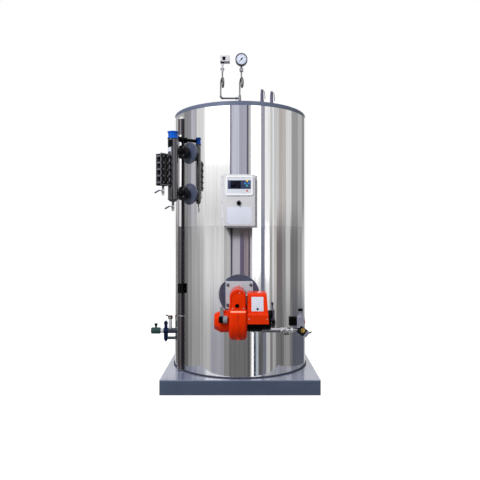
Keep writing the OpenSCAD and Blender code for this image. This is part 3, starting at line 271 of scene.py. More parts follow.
def wall(angle, out=0.0, right=0.0, up=0.0):
    """The wall frame at an angle on the casing: its origin lies out from the axis, right and up."""
    a = math.radians(angle)
    m = np.eye(4)
    m[:3, 0] = math.cos(a), -math.sin(a), 0
    m[:3, 1] = 0, 0, 1
    m[:3, 2] = -math.sin(a), -math.cos(a), 0
    m[:3, 3] = m[:3, 0] * right + m[:3, 1] * up + m[:3, 2] * out
    return m


def on_circle(count, radius, start=0.0):
    """Places on a bolt circle in the xy plane."""
    angles = [math.radians(start + 360 * i / count) for i in range(count)]
    return [matrix(radius * math.cos(a), radius * math.sin(a)) for a in angles]


# Pieces

# Angles in degrees from which an edge is sharp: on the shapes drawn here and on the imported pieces
SHARP, PACKED_SHARP = 38.0, 30.0


def piece(name, parts, replaces=()):
    """Puts shapes into one mesh on the boiler, each with its finish, merged and turned outward by itself."""
    whole = bmesh.new()
    finishes = []
    for finish, part in parts:
        if finish not in finishes:
            finishes.append(finish)
        mesh = bpy.data.meshes.new("shape")
        mesh.from_pydata(part[0] * MM, [], part[1])
        one = bmesh.new()
        one.from_mesh(mesh)
        bmesh.ops.remove_doubles(one, verts=one.verts, dist=1e-6)
        bmesh.ops.dissolve_degenerate(one, edges=one.edges, dist=1e-7)
        bmesh.ops.recalc_face_normals(one, faces=one.faces)
        for face in one.faces:
            face.smooth = True
            face.material_index = finishes.index(finish)
        one.to_mesh(mesh)
        one.free()
        whole.from_mesh(mesh)
        bpy.data.meshes.remove(mesh)
    mesh = bpy.data.meshes.new(name)
    whole.to_mesh(mesh)
    whole.free()
    for finish in finishes:
        mesh.materials.append(finish)
    mesh.set_sharp_from_angle(angle=math.radians(SHARP))
    obj = bpy.data.objects.new(name, mesh)
    bpy.context.scene.collection.objects.link(obj)
    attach(obj, "boiler")
    if replaces:
        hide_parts(*replaces)


def body_of(node):
    """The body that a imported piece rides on."""
    return next(name for name, nodes in frame["record"]["behaviour"]["bodies"].items() if node in nodes)


def dressed(node, finish, edge):
    """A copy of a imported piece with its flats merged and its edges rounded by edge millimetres."""
    mesh = frame["nodes"][node].data.copy()
    mesh.name = node + "_dressed"
    work = bmesh.new()
    work.from_mesh(mesh)
    bmesh.ops.remove_doubles(work, verts=work.verts, dist=2e-6)
    bmesh.ops.dissolve_limit(
        work, angle_limit=math.radians(0.6), verts=work.verts, edges=work.edges, delimit=set())
    for face in work.faces:
        face.smooth = True
        face.material_index = 0
    work.to_mesh(mesh)
    work.free()
    mesh.materials.clear()
    mesh.materials.append(finish)
    mesh.set_sharp_from_angle(angle=math.radians(PACKED_SHARP))
    obj = bpy.data.objects.new(node + "_dressed", mesh)
    bpy.context.scene.collection.objects.link(obj)
    if edge:
        bevel = obj.modifiers.new("rounded_edges", "BEVEL")
        bevel.width = edge * MM
        bevel.segments = 2
        bevel.limit_method = "ANGLE"
        bevel.angle_limit = math.radians(PACKED_SHARP)
        bevel.harden_normals = True
    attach(obj, body_of(node))
    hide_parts(node)


def dress(*rows):
    """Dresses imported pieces, each given with its finish and the rounding of its edges."""
    for row in rows:
        dressed(*row)


# Finishes


def srgb(red, green, blue):
    """A colour as seen on a screen, 0 to 255, turned into the linear values that the shaders take."""
    c = np.array([red, green, blue]) / 255
    return (*np.where(c <= 0.04045, c / 12.92, ((c + 0.055) / 1.055) ** 2.4), 1.0)


def add_node(tree, kind, inputs=None, **settings):
    """A node with its settings; an input is given a value, or is linked where the value is a socket."""
    made = tree.nodes.new(kind)
    for key, value in settings.items():
        setattr(made, key, value)
    for key, value in (inputs or {}).items():
        if isinstance(value, bpy.types.NodeSocket):
            tree.links.new(value, made.inputs[key])
        else:
            made.inputs[key].default_value = value
    return made


def rising(tree, value, start, end, least=0.0, most=1.0, kind="LINEAR"):
    """A value that goes from least at start to most at end, evenly or, as SMOOTHSTEP, with soft ends."""
    return add_node(tree, "ShaderNodeMapRange", {
        "Value": value, "From Min": start, "From Max": end, "To Min": least, "To Max": most,
    }, interpolation_type=kind).outputs[0]


def blend(tree, factor, first, second):
    """A colour between two others, by a factor."""
    colours = {"Factor": factor, 6: first, 7: second}
    return add_node(tree, "ShaderNodeMix", colours, data_type="RGBA").outputs[2]


def maths(tree, operation, *values):
    """The result of a sum on one or more values."""
    return add_node(tree, "ShaderNodeMath", dict(enumerate(values)), operation=operation).outputs[0]


def noise(tree, spot, scale, detail, roughness):
    """Cloudy noise, from 0 to 1."""
    return add_node(tree, "ShaderNodeTexNoise", {
        "Vector": spot, "Scale": scale, "Detail": detail, "Roughness": roughness}).outputs["Fac"]


def drawn_out(tree, spot, share):
    """The place with its height shrunk to a share, which draws a pattern out along the height."""
    return add_node(tree, "ShaderNodeMapping", {"Vector": spot, "Scale": (1.0, 1.0, share)}).outputs[0]


def new_group(name, inputs):
    """An empty shader group with the given inputs, which puts out a colour, a roughness and a normal."""
    group = bpy.data.node_groups.new(name, "ShaderNodeTree")
    for label, kind in inputs:
        group.interface.new_socket(label, in_out="INPUT", socket_type=f"NodeSocket{kind}")
    for label, kind in (("Color", "Color"), ("Roughness", "Float"), ("Normal", "Vector")):
        group.interface.new_socket(label, in_out="OUTPUT", socket_type=f"NodeSocket{kind}")
    return group, group.nodes.new("NodeGroupInput").outputs, group.nodes.new("NodeGroupOutput").inputs


def give_out(group, out, colour, roughness, height, strength, distance):
    """Links the group's colour and roughness, and a normal that a bump makes from a height."""
    bump = add_node(group, "ShaderNodeBump", {"Strength": strength, "Distance": distance, "Height": height})
    group.links.new(colour, out["Color"])
    group.links.new(roughness, out["Roughness"])
    group.links.new(bump.outputs[0], out["Normal"])


def uneven_coat():
    """Paint, plastic or casting: cloudy patches of a second colour, and a fine grain in the surface."""
    group, given, out = new_group("uneven_coat", [
        ("Colour", "Color"), ("Patch Colour", "Color"), ("Patch Scale", "Float"), ("Patch Share", "Float"),
        ("Grain Scale", "Float"), ("Grain Depth", "Float"), ("Smooth", "Float"), ("Rough", "Float"),
    ])
    spot = add_node(group, "ShaderNodeTexCoord").outputs["Object"]
    patch = noise(group, spot, given["Patch Scale"], 5.0, 0.62)
    grain = noise(group, spot, given["Grain Scale"], 3.0, 0.55)
    mask = rising(group, patch, 0.35, 0.7, kind="SMOOTHSTEP")
    share = maths(group, "MULTIPLY", mask, given["Patch Share"])
    rough = rising(group, patch, 0.3, 0.72, given["Smooth"], given["Rough"])
    colour = blend(group, share, given["Colour"], given["Patch Colour"])
    give_out(group, out, colour, rough, grain, 0.6, given["Grain Depth"])
    return group


def rolled_streaks():
    """Sheet and bar: streaks that run up the piece, in noise that is drawn out along z, and long waves."""
    group, given, out = new_group("rolled_streaks", [
        ("Colour", "Color"), ("Streak Colour", "Color"), ("Streaks", "Float"), ("Waves", "Float"),
        ("Wave Depth", "Float"), ("Smooth", "Float"), ("Rough", "Float"),
    ])
    spot = add_node(group, "ShaderNodeTexCoord").outputs["Object"]
    fine = noise(group, drawn_out(group, spot, 0.012), given["Streaks"], 6.0, 0.7)
    waves = noise(group, drawn_out(group, spot, 0.16), given["Waves"], 1.0, 0.4)
    mask = rising(group, fine, 0.42, 0.72, kind="SMOOTHSTEP")
    rough = rising(group, fine, 0.3, 0.7, given["Smooth"], given["Rough"])
    colour = blend(group, mask, given["Colour"], given["Streak Colour"])
    give_out(group, out, colour, rough, waves, 1.0, given["Wave Depth"])
    return group


UNEVEN_COAT = uneven_coat()
ROLLED_STREAKS = rolled_streaks()


def shaded(name, group, values, **sockets):
    """A material whose colour, roughness and normal come from a group; plain values go on the shader."""
    material = bpy.data.materials.new(name)
    material.use_nodes = True
    tree = material.node_tree
    shader = tree.nodes["Principled BSDF"]
    look = add_node(tree, "ShaderNodeGroup", node_tree=group)
    for label, value in values.items():
        look.inputs[label].default_value = value
    tree.links.new(look.outputs["Color"], shader.inputs["Base Color"])
    tree.links.new(look.outputs["Roughness"], shader.inputs["Roughness"])
    tree.links.new(look.outputs["Normal"], shader.inputs["Normal"])
    for label, value in sockets.items():
        shader.inputs[label.replace("_", " ").title().replace("Ior", "IOR")].default_value = value
    return material


def coat(name, colour, patch, smooth=0.25, rough=0.4, scale=9.0, share=0.5, grain=420.0, depth=0.00004,
         **sockets):
    """Paint or plastic of one colour with a second one in faint patches, both as seen, 0 to 255.

    smooth and rough bound its roughness, scale and share are the patches', and grain and depth the grain's.
    """
    return shaded(name, UNEVEN_COAT, {
        "Colour": srgb(*colour), "Patch Colour": srgb(*patch), "Patch Scale": scale, "Patch Share": share,
        "Grain Scale": grain, "Grain Depth": depth, "Smooth": smooth, "Rough": rough}, **sockets)


def rolled(name, colour, streak, smooth, rough, streaks, waves, depth=0.0001):
    """Bare rolled or drawn metal of one colour with a second one in streaks, both as seen, 0 to 255.

    smooth and rough bound its roughness, streaks and waves are their scales, and depth is the waves' height.
    """
    return shaded(name, ROLLED_STREAKS, {
        "Colour": srgb(*colour), "Streak Colour": srgb(*streak), "Streaks": streaks, "Waves": waves,
        "Wave Depth": depth, "Smooth": smooth, "Rough": rough}, metallic=1.0)


STAINLESS_UPPER = rolled(
    "polished_stainless", (247, 247, 247), (228, 228, 230), 0.03, 0.06, 90.0, 3.0, 0.00016)
STAINLESS_LOWER = rolled(
    "worn_stainless", (236, 235, 236), (212, 211, 213), 0.035, 0.09, 46.0, 2.0, 0.00014)
DUCT_STEEL = rolled("duct_stainless", (250, 247, 249), (206, 202, 206), 0.08, 0.16, 160.0, 6.0, 0.0004)
# Painted shade: a dim sheet that darkens the reflections on the cable duct's front
PAINTED_DUCT_DIMMING = rolled("duct_front_painted_shade", (122, 116, 120), (92, 86, 90), 0.14, 0.24, 160.0, 6.0)
# Painted shade: a dark sheet laid down the cable duct's side
PAINTED_SIDE_SHADE = rolled("duct_flank_painted_shade", (62, 58, 64), (34, 32, 36), 0.25, 0.4, 160.0, 6.0)
BRIGHT_STEEL = rolled("zinc_plated_steel", (222, 222, 224), (180, 180, 184), 0.25, 0.4, 300.0, 30.0)
NICKEL = rolled("nickel_plate", (222, 222, 224), (158, 158, 162), 0.08, 0.18, 260.0, 24.0)
LEVER_STEEL = rolled("lever_steel", (150, 152, 160), (112, 114, 122), 0.25, 0.4, 300.0, 24.0)
BRIGHT_ALLOY = coat("bright_alloy", (216, 217, 222), (176, 178, 184), 0.2, 0.34, 60.0, 0.7, 300.0, 0.0001)
BRASS = rolled("brass", (236, 194, 110), (190, 140, 70), 0.2, 0.36, 260.0, 24.0)
SIPHON_STEEL = rolled("siphon_tube", (150, 147, 145), (86, 83, 82), 0.2, 0.36, 240.0, 30.0)

BASE_PAINT = coat("base_slate_paint", (69, 81, 102), (59, 70, 90), 0.28, 0.4, 5.0, 0.6, 420.0, 0.00001,
                  coat_weight=0.3, coat_roughness=0.2)
RIM_PAINT = coat("rim_slate_paint", (92, 100, 124), (70, 78, 102), 0.24, 0.38, 7.0, 0.5,
                 coat_weight=0.3, coat_roughness=0.2)
DISC_PAINT = coat("wall_disc_paint", (68, 74, 95), (54, 59, 78), 0.24, 0.38, 7.0, 0.5,
                  coat_weight=0.3, coat_roughness=0.2)
RING_PAINT = coat("foot_ring_paint", (54, 57, 70), (42, 45, 58), 0.4, 0.55, specular_ior_level=0.2)
DECK_PAINT = coat("deck_gloss_paint", (120, 128, 153), (104, 112, 139), 0.2, 0.32, 4.0, 0.5,
                  coat_weight=0.8, coat_roughness=0.12, coat_ior=1.6)
COLUMN_PAINT = coat("column_paint", (26, 26, 36), (18, 18, 27), 0.16, 0.3, 8.0, 0.5,
                    coat_weight=1.0, coat_roughness=0.05, coat_ior=1.75)
GAUGE_IRON = coat("gauge_cast_iron", (12, 13, 16), (22, 23, 27), 0.35, 0.55, 24.0, 0.7, 260.0, 0.0003,
                  specular_ior_level=0.15)
CLAMP_PAINT = coat("gauge_clamp_paint", (92, 94, 100), (74, 76, 82), 0.3, 0.45, 24.0, 0.6, 260.0, 0.0002)
BLACK_IRON = coat("black_painted_iron", (10, 11, 14), (20, 21, 26), 0.28, 0.5, 20.0, 0.5, 240.0, 0.0002,
                  specular_ior_level=0.2)
BLACK_PLASTIC = coat("black_plastic", (4, 4, 5), (8, 8, 10), 0.32, 0.46, 30.0, 0.6, 700.0, 0.00006,
                     specular_ior_level=0.08)
BLUE_PLASTIC = coat("blue_plastic", (0, 84, 186), (0, 70, 162), 0.22, 0.34, 26.0, 0.5, 600.0, 0.00005,
                    specular_ior_level=0.2)
BLUE_GRIP = coat("blue_dipped_grip", (22, 34, 76), (16, 24, 56), 0.35, 0.5, 40.0, 0.5, 500.0, 0.0001)
BOX_PAINT = coat("box_powder_coat", (202, 202, 205), (192, 193, 196), 0.36, 0.48, 12.0, 0.5, 900.0, 0.00008)
WHITE_PLASTIC = coat("white_plastic", (231, 232, 236), (221, 223, 228), 0.25, 0.36, 16.0, 0.5)
BLANK_PLATE = coat("bare_plate", (204, 208, 220), (194, 198, 212), 0.3, 0.42, 30.0, 0.5)
BURNER_RED = coat("burner_red_paint", (212, 46, 0), (198, 36, 0), 0.2, 0.3, 14.0, 0.5, 380.0, 0.00004,
                  specular_ior_level=0.04, coat_weight=0.12, coat_roughness=0.06)
COVER_RED = coat("cover_red_plastic", (216, 48, 0), (206, 40, 0), 0.24, 0.34, 14.0, 0.5, 500.0, 0.00003,
                 specular_ior_level=0.06, coat_weight=0.25, coat_roughness=0.1)
SEAM_RED = coat("burner_seam", (120, 16, 0), (96, 10, 0), 0.3, 0.4)
BOLT_GREY = coat("burner_bolts", (86, 88, 94), (66, 68, 74), 0.35, 0.5)
# Painted highlight: a pale red for the strip on the burner's sloped ledge
LEDGE_HIGHLIGHT = coat("ledge_painted_highlight", (246, 150, 122), (236, 120, 90), 0.24, 0.34, 60.0, 0.5, 380.0, 0.00004)
PLATE_ALLOY = coat("cast_plate_alloy", (180, 188, 197), (160, 168, 178), 0.36, 0.5, 22.0, 0.6, 300.0, 0.0002)
VALVE_ALLOY = coat("die_cast_alloy", (134, 134, 150), (112, 112, 128), 0.32, 0.46, 26.0, 0.6, 320.0, 0.0002)
GREY_PLASTIC = coat("grey_plastic", (128, 131, 138), (108, 111, 118), 0.35, 0.5, 26.0, 0.5, 600.0, 0.00006)
MOTOR_BLACK = coat("motor_paint", (5, 6, 7), (12, 13, 16), 0.3, 0.5, 18.0, 0.6, 260.0, 0.0002,
                   specular_ior_level=0.04)
CHECK_BLUE = coat("check_valve_paint", (6, 24, 62), (4, 13, 40), 0.28, 0.45, 24.0, 0.6, 260.0, 0.0002,
                  specular_ior_level=0.15)
VENT_BRASS = rolled("dull_brass", (150, 122, 104), (112, 88, 74), 0.25, 0.4, 260.0, 24.0)
STOP_GREEN = coat("stop_valve_paint", (26, 62, 60), (18, 44, 46), 0.3, 0.46, 24.0, 0.6, 260.0, 0.0002)
TEE_PAINT = coat("feed_pipe_paint", (36, 42, 58), (22, 27, 42), 0.24, 0.4, 24.0, 0.5,
                 coat_weight=0.5, coat_roughness=0.12)
SAFETY_PAINT = coat("safety_valve_paint", (92, 92, 116), (72, 72, 94), 0.28, 0.42, 20.0, 0.5)
GAUGE_CASE = coat("gauge_case_paint", (52, 54, 62), (38, 40, 46), 0.3, 0.45, 20.0, 0.5)
DIAL_WHITE = coat("dial_enamel", (208, 214, 232), (200, 206, 226), 0.3, 0.4)
PANEL_FILM = coat("panel_film", (206, 210, 218), (198, 202, 212), 0.3, 0.4)
DARK_FILM = coat("dark_blue_film", (46, 58, 88), (40, 50, 78), 0.25, 0.35)
SCREEN = coat("dark_screen", (6, 8, 20), (10, 14, 28), 0.06, 0.12, specular_ior_level=0.25)
KEY_YELLOW = coat("yellow_key", (236, 200, 70), (226, 188, 58), 0.3, 0.4)
KEY_BLUE = coat("blue_key", (60, 130, 200), (50, 118, 188), 0.3, 0.4)
KEY_TEAL = coat("teal_key", (70, 168, 172), (58, 152, 158), 0.3, 0.4)
KEY_RED = coat("red_key", (204, 36, 48), (188, 28, 40), 0.3, 0.4)
ORANGE_PLASTIC = coat("orange_plastic", (232, 96, 40), (220, 84, 30), 0.3, 0.4)
RUBBER = coat("black_rubber", (24, 24, 26), (34, 34, 36), 0.5, 0.7, 30.0, 0.5, 400.0, 0.0001)
HOSE_GREY = coat("clear_grey_hose", (170, 172, 178), (150, 152, 160), 0.25, 0.35, 30.0, 0.5)
TOP_PLATE = coat("top_plate_paint", (94, 102, 125), (78, 86, 108), 0.3, 0.46, 4.0, 0.6)
DARK_GLASS = coat("reflex_glass", (10, 10, 14), (16, 16, 22), 0.05, 0.1, specular_ior_level=0.7)


def lettering(text, size):
    """A number for a dial, as a flat-faced shape centred on its own middle."""
    letters = bpy.data.curves.new("number", "FONT")
    letters.body = text
    letters.size = size
    letters.align_x = "CENTER"
    letters.align_y = "CENTER"
    letters.extrude = 0.15
    letters.resolution_u = 3
    holder = bpy.data.objects.new("number", letters)
    bpy.context.scene.collection.objects.link(holder)
    mesh = bpy.data.meshes.new_from_object(holder)
    shape = (np.array([v.co[:] for v in mesh.vertices]), [list(f.vertices) for f in mesh.polygons])
    bpy.data.objects.remove(holder)
    bpy.data.curves.remove(letters)
    bpy.data.meshes.remove(mesh)
    return shape


# Base, casing and top

dress(
    ("base_channels", BASE_PAINT, 1.5), ("base_beams", BASE_PAINT, 1.0), ("base_deck", DECK_PAINT, 1.0),
    ("foot_ring", RING_PAINT, 1.0), ("top_cover", TOP_PLATE, 1.5))

UPPER_R, LOWER_R = high("upper_casing")[0], high("lower_casing")[0]
DECK_Z, SEAM_Z, CASING_TOP = low("lower_casing")[2], low("upper_casing")[2], high("upper_casing")[2]
SKIN_T, HEM_T, HEM_H = 0.7, 0.6, 9.0
LAP_T, LAP_ANGLE, LAP_UP, RIVET_SIDE = 1.0, 2.2, 14.0, 12.0


def sheet_tube(radius, z0, z1, hem=0.0):
    """A rolled sheet of 360 flats, turned about the z axis; its lower edge is folded back into a hem."""
    inner = radius - SKIN_T
    return turned([
        (inner, z0), (radius + hem, z0), (radius + hem, z0 + HEM_H), (radius, z0 + HEM_H + 0.3),
        (radius, z1), (inner, z1)], 360, hollow=True)


def back_seam(radius, z0, z1, heights):
    """The lap of a sheet's edges at the back, and its two rows of rivets at the given heights."""
    lap = arc_plate(radius, LAP_T, 90 - LAP_ANGLE, 90 + LAP_ANGLE, z0, z1)
    return lap, placed(rivet, *[
        wall(180, radius + LAP_T, side * RIVET_SIDE, z) for z in heights for side in (-1, 1)])


rivet = dome(2.6, 1.3, 12)
seam_rivets = placed(rivet, *[wall(a, UPPER_R + HEM_T, up=SEAM_Z + 5) for a in range(20, 380, 24)])
upper_lap, upper_rivets = back_seam(
    UPPER_R, SEAM_Z, CASING_TOP, np.linspace(SEAM_Z + 38, CASING_TOP - 33, 8))
lower_lap, lower_rivets = back_seam(
    LOWER_R, DECK_Z + LAP_UP, SEAM_Z, np.linspace(DECK_Z + 48, SEAM_Z - 42, 10))
piece("upper_casing_skin", [
    (STAINLESS_UPPER, sheet_tube(UPPER_R, SEAM_Z, CASING_TOP, HEM_T)), (STAINLESS_UPPER, upper_lap),
    (BRIGHT_STEEL, joined(seam_rivets, upper_rivets))], replaces=["upper_casing"])
piece("lower_casing_skin", [
    (STAINLESS_LOWER, sheet_tube(LOWER_R, DECK_Z, high("lower_casing")[2])), (STAINLESS_LOWER, lower_lap),
    (BRIGHT_STEEL, lower_rivets)], replaces=["lower_casing"])

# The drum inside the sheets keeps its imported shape
frame["nodes"]["insulated_drum"].data.materials.clear()
frame["nodes"]["insulated_drum"].data.materials.append(RUBBER)

dress(("flue_collar", BRIGHT_STEEL, 1.0), ("steam_outlet", RIM_PAINT, 1.0))

# Cable duct: the axis and radius of its front, the heights that its sheets of painted shade span, and their
# arcs in degrees

DUCT_OUT, DUCT_R, DUCT_STEP = 527.84, 50.2, 1.0
# The last two spans are where dim sheets of painted shade cover the duct's front: low down and under its head
DUCT_FOOT, DUCT_BODY, LOW_SHADE_SPAN, TOP_SHADE_SPAN = (122, 541), (545, 2085), (545, 1243), (1960, 2085)
SIDE_ARC, FRONT_ARC = (-106, -80), (-142, -106.2)
duct_x, duct_y = wall(DUCT_ANGLE, DUCT_OUT)[:2, 3]


def painted_shade_sheets(thickness, arc, spans):
    """Thin sheets of painted shade bent over the duct, one for each span of heights, and one on its wider
    foot.
    """
    sheets = [arc_plate(DUCT_R, thickness, *arc, *span) for span in spans]
    sheets.append(arc_plate(DUCT_R + DUCT_STEP, thickness, *arc, *DUCT_FOOT))
    return placed(joined(*sheets), matrix(duct_x, duct_y))


dress(("cable_duct", DUCT_STEEL, 0.8))
piece("duct_painted_shade", [
    # a dark sheet of painted shade down the duct's side
    (PAINTED_SIDE_SHADE, painted_shade_sheets(0.5, SIDE_ARC, [DUCT_BODY])),
    # dim sheets of painted shade over the duct's front, low down and under its head
    (PAINTED_DUCT_DIMMING, painted_shade_sheets(0.4, FRONT_ARC, [LOW_SHADE_SPAN, TOP_SHADE_SPAN]))])
dress(("duct_glands", BLACK_PLASTIC, 1.5))

# Level column, gauge and their valves

COLUMN_X, COLUMN_R, COLUMN_TOP, COLUMN_WELD_Z = 709.0, 38.0, high("level_column")[2], 1440.0
FLANGE_R, FLANGE_T, FLANGE_PCR, GASKET_X, GASKET_T = 52.5, 16.0, 40.0, 612.0, 3.0
BRANCH_Z = (low("level_branches")[2] + FLANGE_R, high("level_branches")[2] - FLANGE_R)
GAUGE_X, GAUGE_Z = 800.5, low("level_gauge_clamps")[2]
GAUGE_H = high("level_gauge_clamps")[2] - GAUGE_Z
CLAMP_FIRST, CLAMP_PITCH, CLAMP_H, CLAMP_BOLT_X = 15.0, 48.0, 13.0, 34.0
POST_W, POST_Y = 7.0, 27.0
column_x, column_y = wall(COLUMN_ANGLE, COLUMN_X)[:2, 3]
column_frame = matrix(column_x, column_y)

dress(
    ("level_column", COLUMN_PAINT, 0.8), ("column_cap", BLUE_PLASTIC, 1.5),
    ("level_branches", BLACK_IRON, 1.0), ("wall_discs", DISC_PAINT, 1.2),
    ("level_gauge_body", GAUGE_IRON, 1.0), ("level_gauge_clamps", CLAMP_PAINT, 0.8),
    ("gauge_glass", DARK_GLASS, 0.4), ("drain_valves", NICKEL, 0.6), ("gauge_drain_lever", BLUE_GRIP, 0.8),
    ("column_drain_lever", BLUE_GRIP, 0.8))

flange_bolts, flange_nuts = [], []
for z in BRANCH_Z:
    for place in on_circle(4, FLANGE_PCR, 45):
        flange_bolts.append(wall(COLUMN_ANGLE, GASKET_X + GASKET_T / 2 + FLANGE_T, up=z) @ place)
        flange_nuts.append(
            wall(COLUMN_ANGLE, GASKET_X - GASKET_T / 2 - FLANGE_T, up=z) @ matrix(ry=180) @ place)
piece("branch_bolts", [
    (LEVER_STEEL, joined(placed(bolt(7.5, 8), *flange_bolts), placed(bolt(7.5, 12), *flange_nuts)))])

# Weld beads of the column's dished ends, a black label and a bare plate, bent round its left front
piece("column_details", [
    (COLUMN_PAINT, placed(
        ring(COLUMN_R + 1.0, 2.2), *[column_frame @ matrix(z=z) for z in (COLUMN_TOP - 3, COLUMN_WELD_Z)])),
    (BLACK_PLASTIC, placed(arc_plate(COLUMN_R, 0.5, -168, -88, 1830, 1880), column_frame)),
    (BLANK_PLATE, placed(arc_plate(COLUMN_R, 0.4, -160, -106, 1794, 1824), column_frame))])

# Ribs of the hose between the column's cap and the duct
toward_duct = math.degrees(math.atan2(duct_y - column_y, duct_x - column_x))
conduit_frame = matrix(column_x, column_y, middle("column_cap")[2]) @ matrix(rz=toward_duct) @ matrix(ry=90)
piece("conduit_ribs", [
    (BLACK_PLASTIC, placed(
        ring(11.8, 1.5, 24, 8), *[conduit_frame @ matrix(z=z) for z in range(56, 150, 5)]))])

# Two bolts in each clamp, and the frame of flats that the clamps are tied to
clamp_z = [GAUGE_Z + CLAMP_FIRST + CLAMP_PITCH * i + CLAMP_H / 2 for i in range(5)]
gauge_bolts = [
    wall(COLUMN_ANGLE, GAUGE_X + side * CLAMP_BOLT_X, 31, z) @ matrix(ry=90)
    for z in clamp_z for side in (-1, 1)]
gauge_posts = [
    placed(box(POST_W, GAUGE_H, 0, POST_W), wall(COLUMN_ANGLE, GAUGE_X + x, y, GAUGE_Z + GAUGE_H / 2))
    for x, y in ((CLAMP_BOLT_X, POST_Y), (CLAMP_BOLT_X, -POST_Y), (-41, POST_Y))]
gauge_ends = [
    placed(box(76, 8, -POST_W / 2, POST_W / 2), wall(COLUMN_ANGLE, GAUGE_X, POST_Y, z) @ matrix(ry=90))
    for z in (GAUGE_Z + 4, GAUGE_Z + GAUGE_H - 4)]
piece("gauge_bolts", [
    (BLACK_IRON, placed(bolt(7.5, 9), *gauge_bolts)), (CLAMP_PAINT, joined(*gauge_posts, *gauge_ends))])

# Control box and its display: the box's front is the back of the display unit

BOX_X, BOX_Z = middle("control_box")[[0, 2]]
BOX_FRONT, BOX_SHEET, BOX_PLATE_Z = -high("display_unit")[1], 1.4, 1311.0
BOX_FLANGE_OUT, FLANGE_SCREW_X, FLANGE_SCREW_Z = 553.0, (-131.0, 121.0), (1234, 1290, 1414, 1546, 1606)
KNOB_X, KNOB_Z = middle("selector_knob")[[0, 2]]
SCREEN_X, SCREEN_Z, DISPLAY_Z = -31.0, 1531.0, middle("display_unit")[2]
PANEL_Y = -low("display_unit")[1] - 4.0

dress(
    ("control_box", BOX_PAINT, 2.5), ("display_unit", WHITE_PLASTIC, 2.0),
    ("selector_knob", BLACK_PLASTIC, 1.2))
flange_screws = [
    wall(math.degrees(math.asin(-x / BOX_FLANGE_OUT)), BOX_FLANGE_OUT, up=z)
    for x in FLANGE_SCREW_X for z in FLANGE_SCREW_Z]
plate_screws = [
    wall(0, BOX_FRONT + 2.2, BOX_X + side * 84, BOX_PLATE_Z + end * 56)
    for side in (-1, 1) for end in (-1, 1)]
piece("box_details", [
    (BOX_PAINT, placed(box(222, 364, 0, BOX_SHEET, 0.8, 7), wall(0, BOX_FRONT, BOX_X, BOX_Z))),
    (BLANK_PLATE, placed(box(178, 124, 0, 0.8, 0.3, 3), wall(0, BOX_FRONT + BOX_SHEET, BOX_X, BOX_PLATE_Z))),
    (BRIGHT_STEEL, joined(placed(pan_screw(4.2), *flange_screws), placed(pan_screw(3.2), *plate_screws))),
    (BRIGHT_STEEL, placed(tube(19.5, 15, 0, 2.4), wall(0, BOX_FRONT + BOX_SHEET, KNOB_X, KNOB_Z)))])

# Each key's finish, its place to the right and up, and its radius
KEYS = [
    (KEY_YELLOW, 51, 1558, 7.5), (KEY_BLUE, 38, 1540, 7.5), (KEY_BLUE, 62, 1540, 7.5),
    (KEY_TEAL, 50, 1523, 7.5), (KEY_RED, 50, 1487, 6.5)]
piece("display_panel", [
    (PANEL_FILM, placed(box(168, 114, 0, 0.6, 0.2, 6), wall(0, PANEL_Y, BOX_X, DISPLAY_Z))),
    (DARK_FILM, placed(box(164, 62, 0, 0.3, 0.1, 3), wall(0, PANEL_Y + 0.6, BOX_X, SCREEN_Z))),
    (SCREEN, placed(box(72, 52, 0, 0.6, 0.2, 2), wall(0, PANEL_Y + 0.8, SCREEN_X, SCREEN_Z))),
    *[(finish, placed(disc(r, 0, 1.6, 0.7, 24), wall(0, PANEL_Y + 0.7, x, z))) for finish, x, z, r in KEYS]])

# Burner: the scroll's axis is the air intake's, and the head stands above it

PLATE_FRONT, PLATE_Z = -low("burner_plate")[1], middle("burner_plate")[2]
FAN_Y, FAN_Z = middle("burner_air_intake")[1:]
SCROLL_R = 131.0
HEAD_X, HEAD_Z, HEAD_FRONT, HEAD_RIM_R, HEAD_LEG = middle("burner_housing")[0], 740.0, 843.0, 46.0, 62.0
LEDGE_OUT, LEDGE_Z = 857.0, 648.0
SIGHT_X, SIGHT_Z = -19.0, 686.0
COVER_SCREW_OUT, COVER_SCREW_Z, COVER_TILT = 851.5, 598.0, math.degrees(math.atan2(14, 119.8))

dress(
    ("burner_plate", PLATE_ALLOY, 2.0), ("burner_housing", BURNER_RED, 2.5),
    ("burner_air_intake", BURNER_RED, 2.0), ("burner_motor", MOTOR_BLACK, 1.5),
    ("burner_control_cover", COVER_RED, 3.0), ("air_pressure_switch", GREY_PLASTIC, 1.0))
piece("air_switch_plug", [
    (BLACK_PLASTIC, placed(box(31, 42, 0, 40, 2.0, 4), wall(0, 817, -129, 593)))])

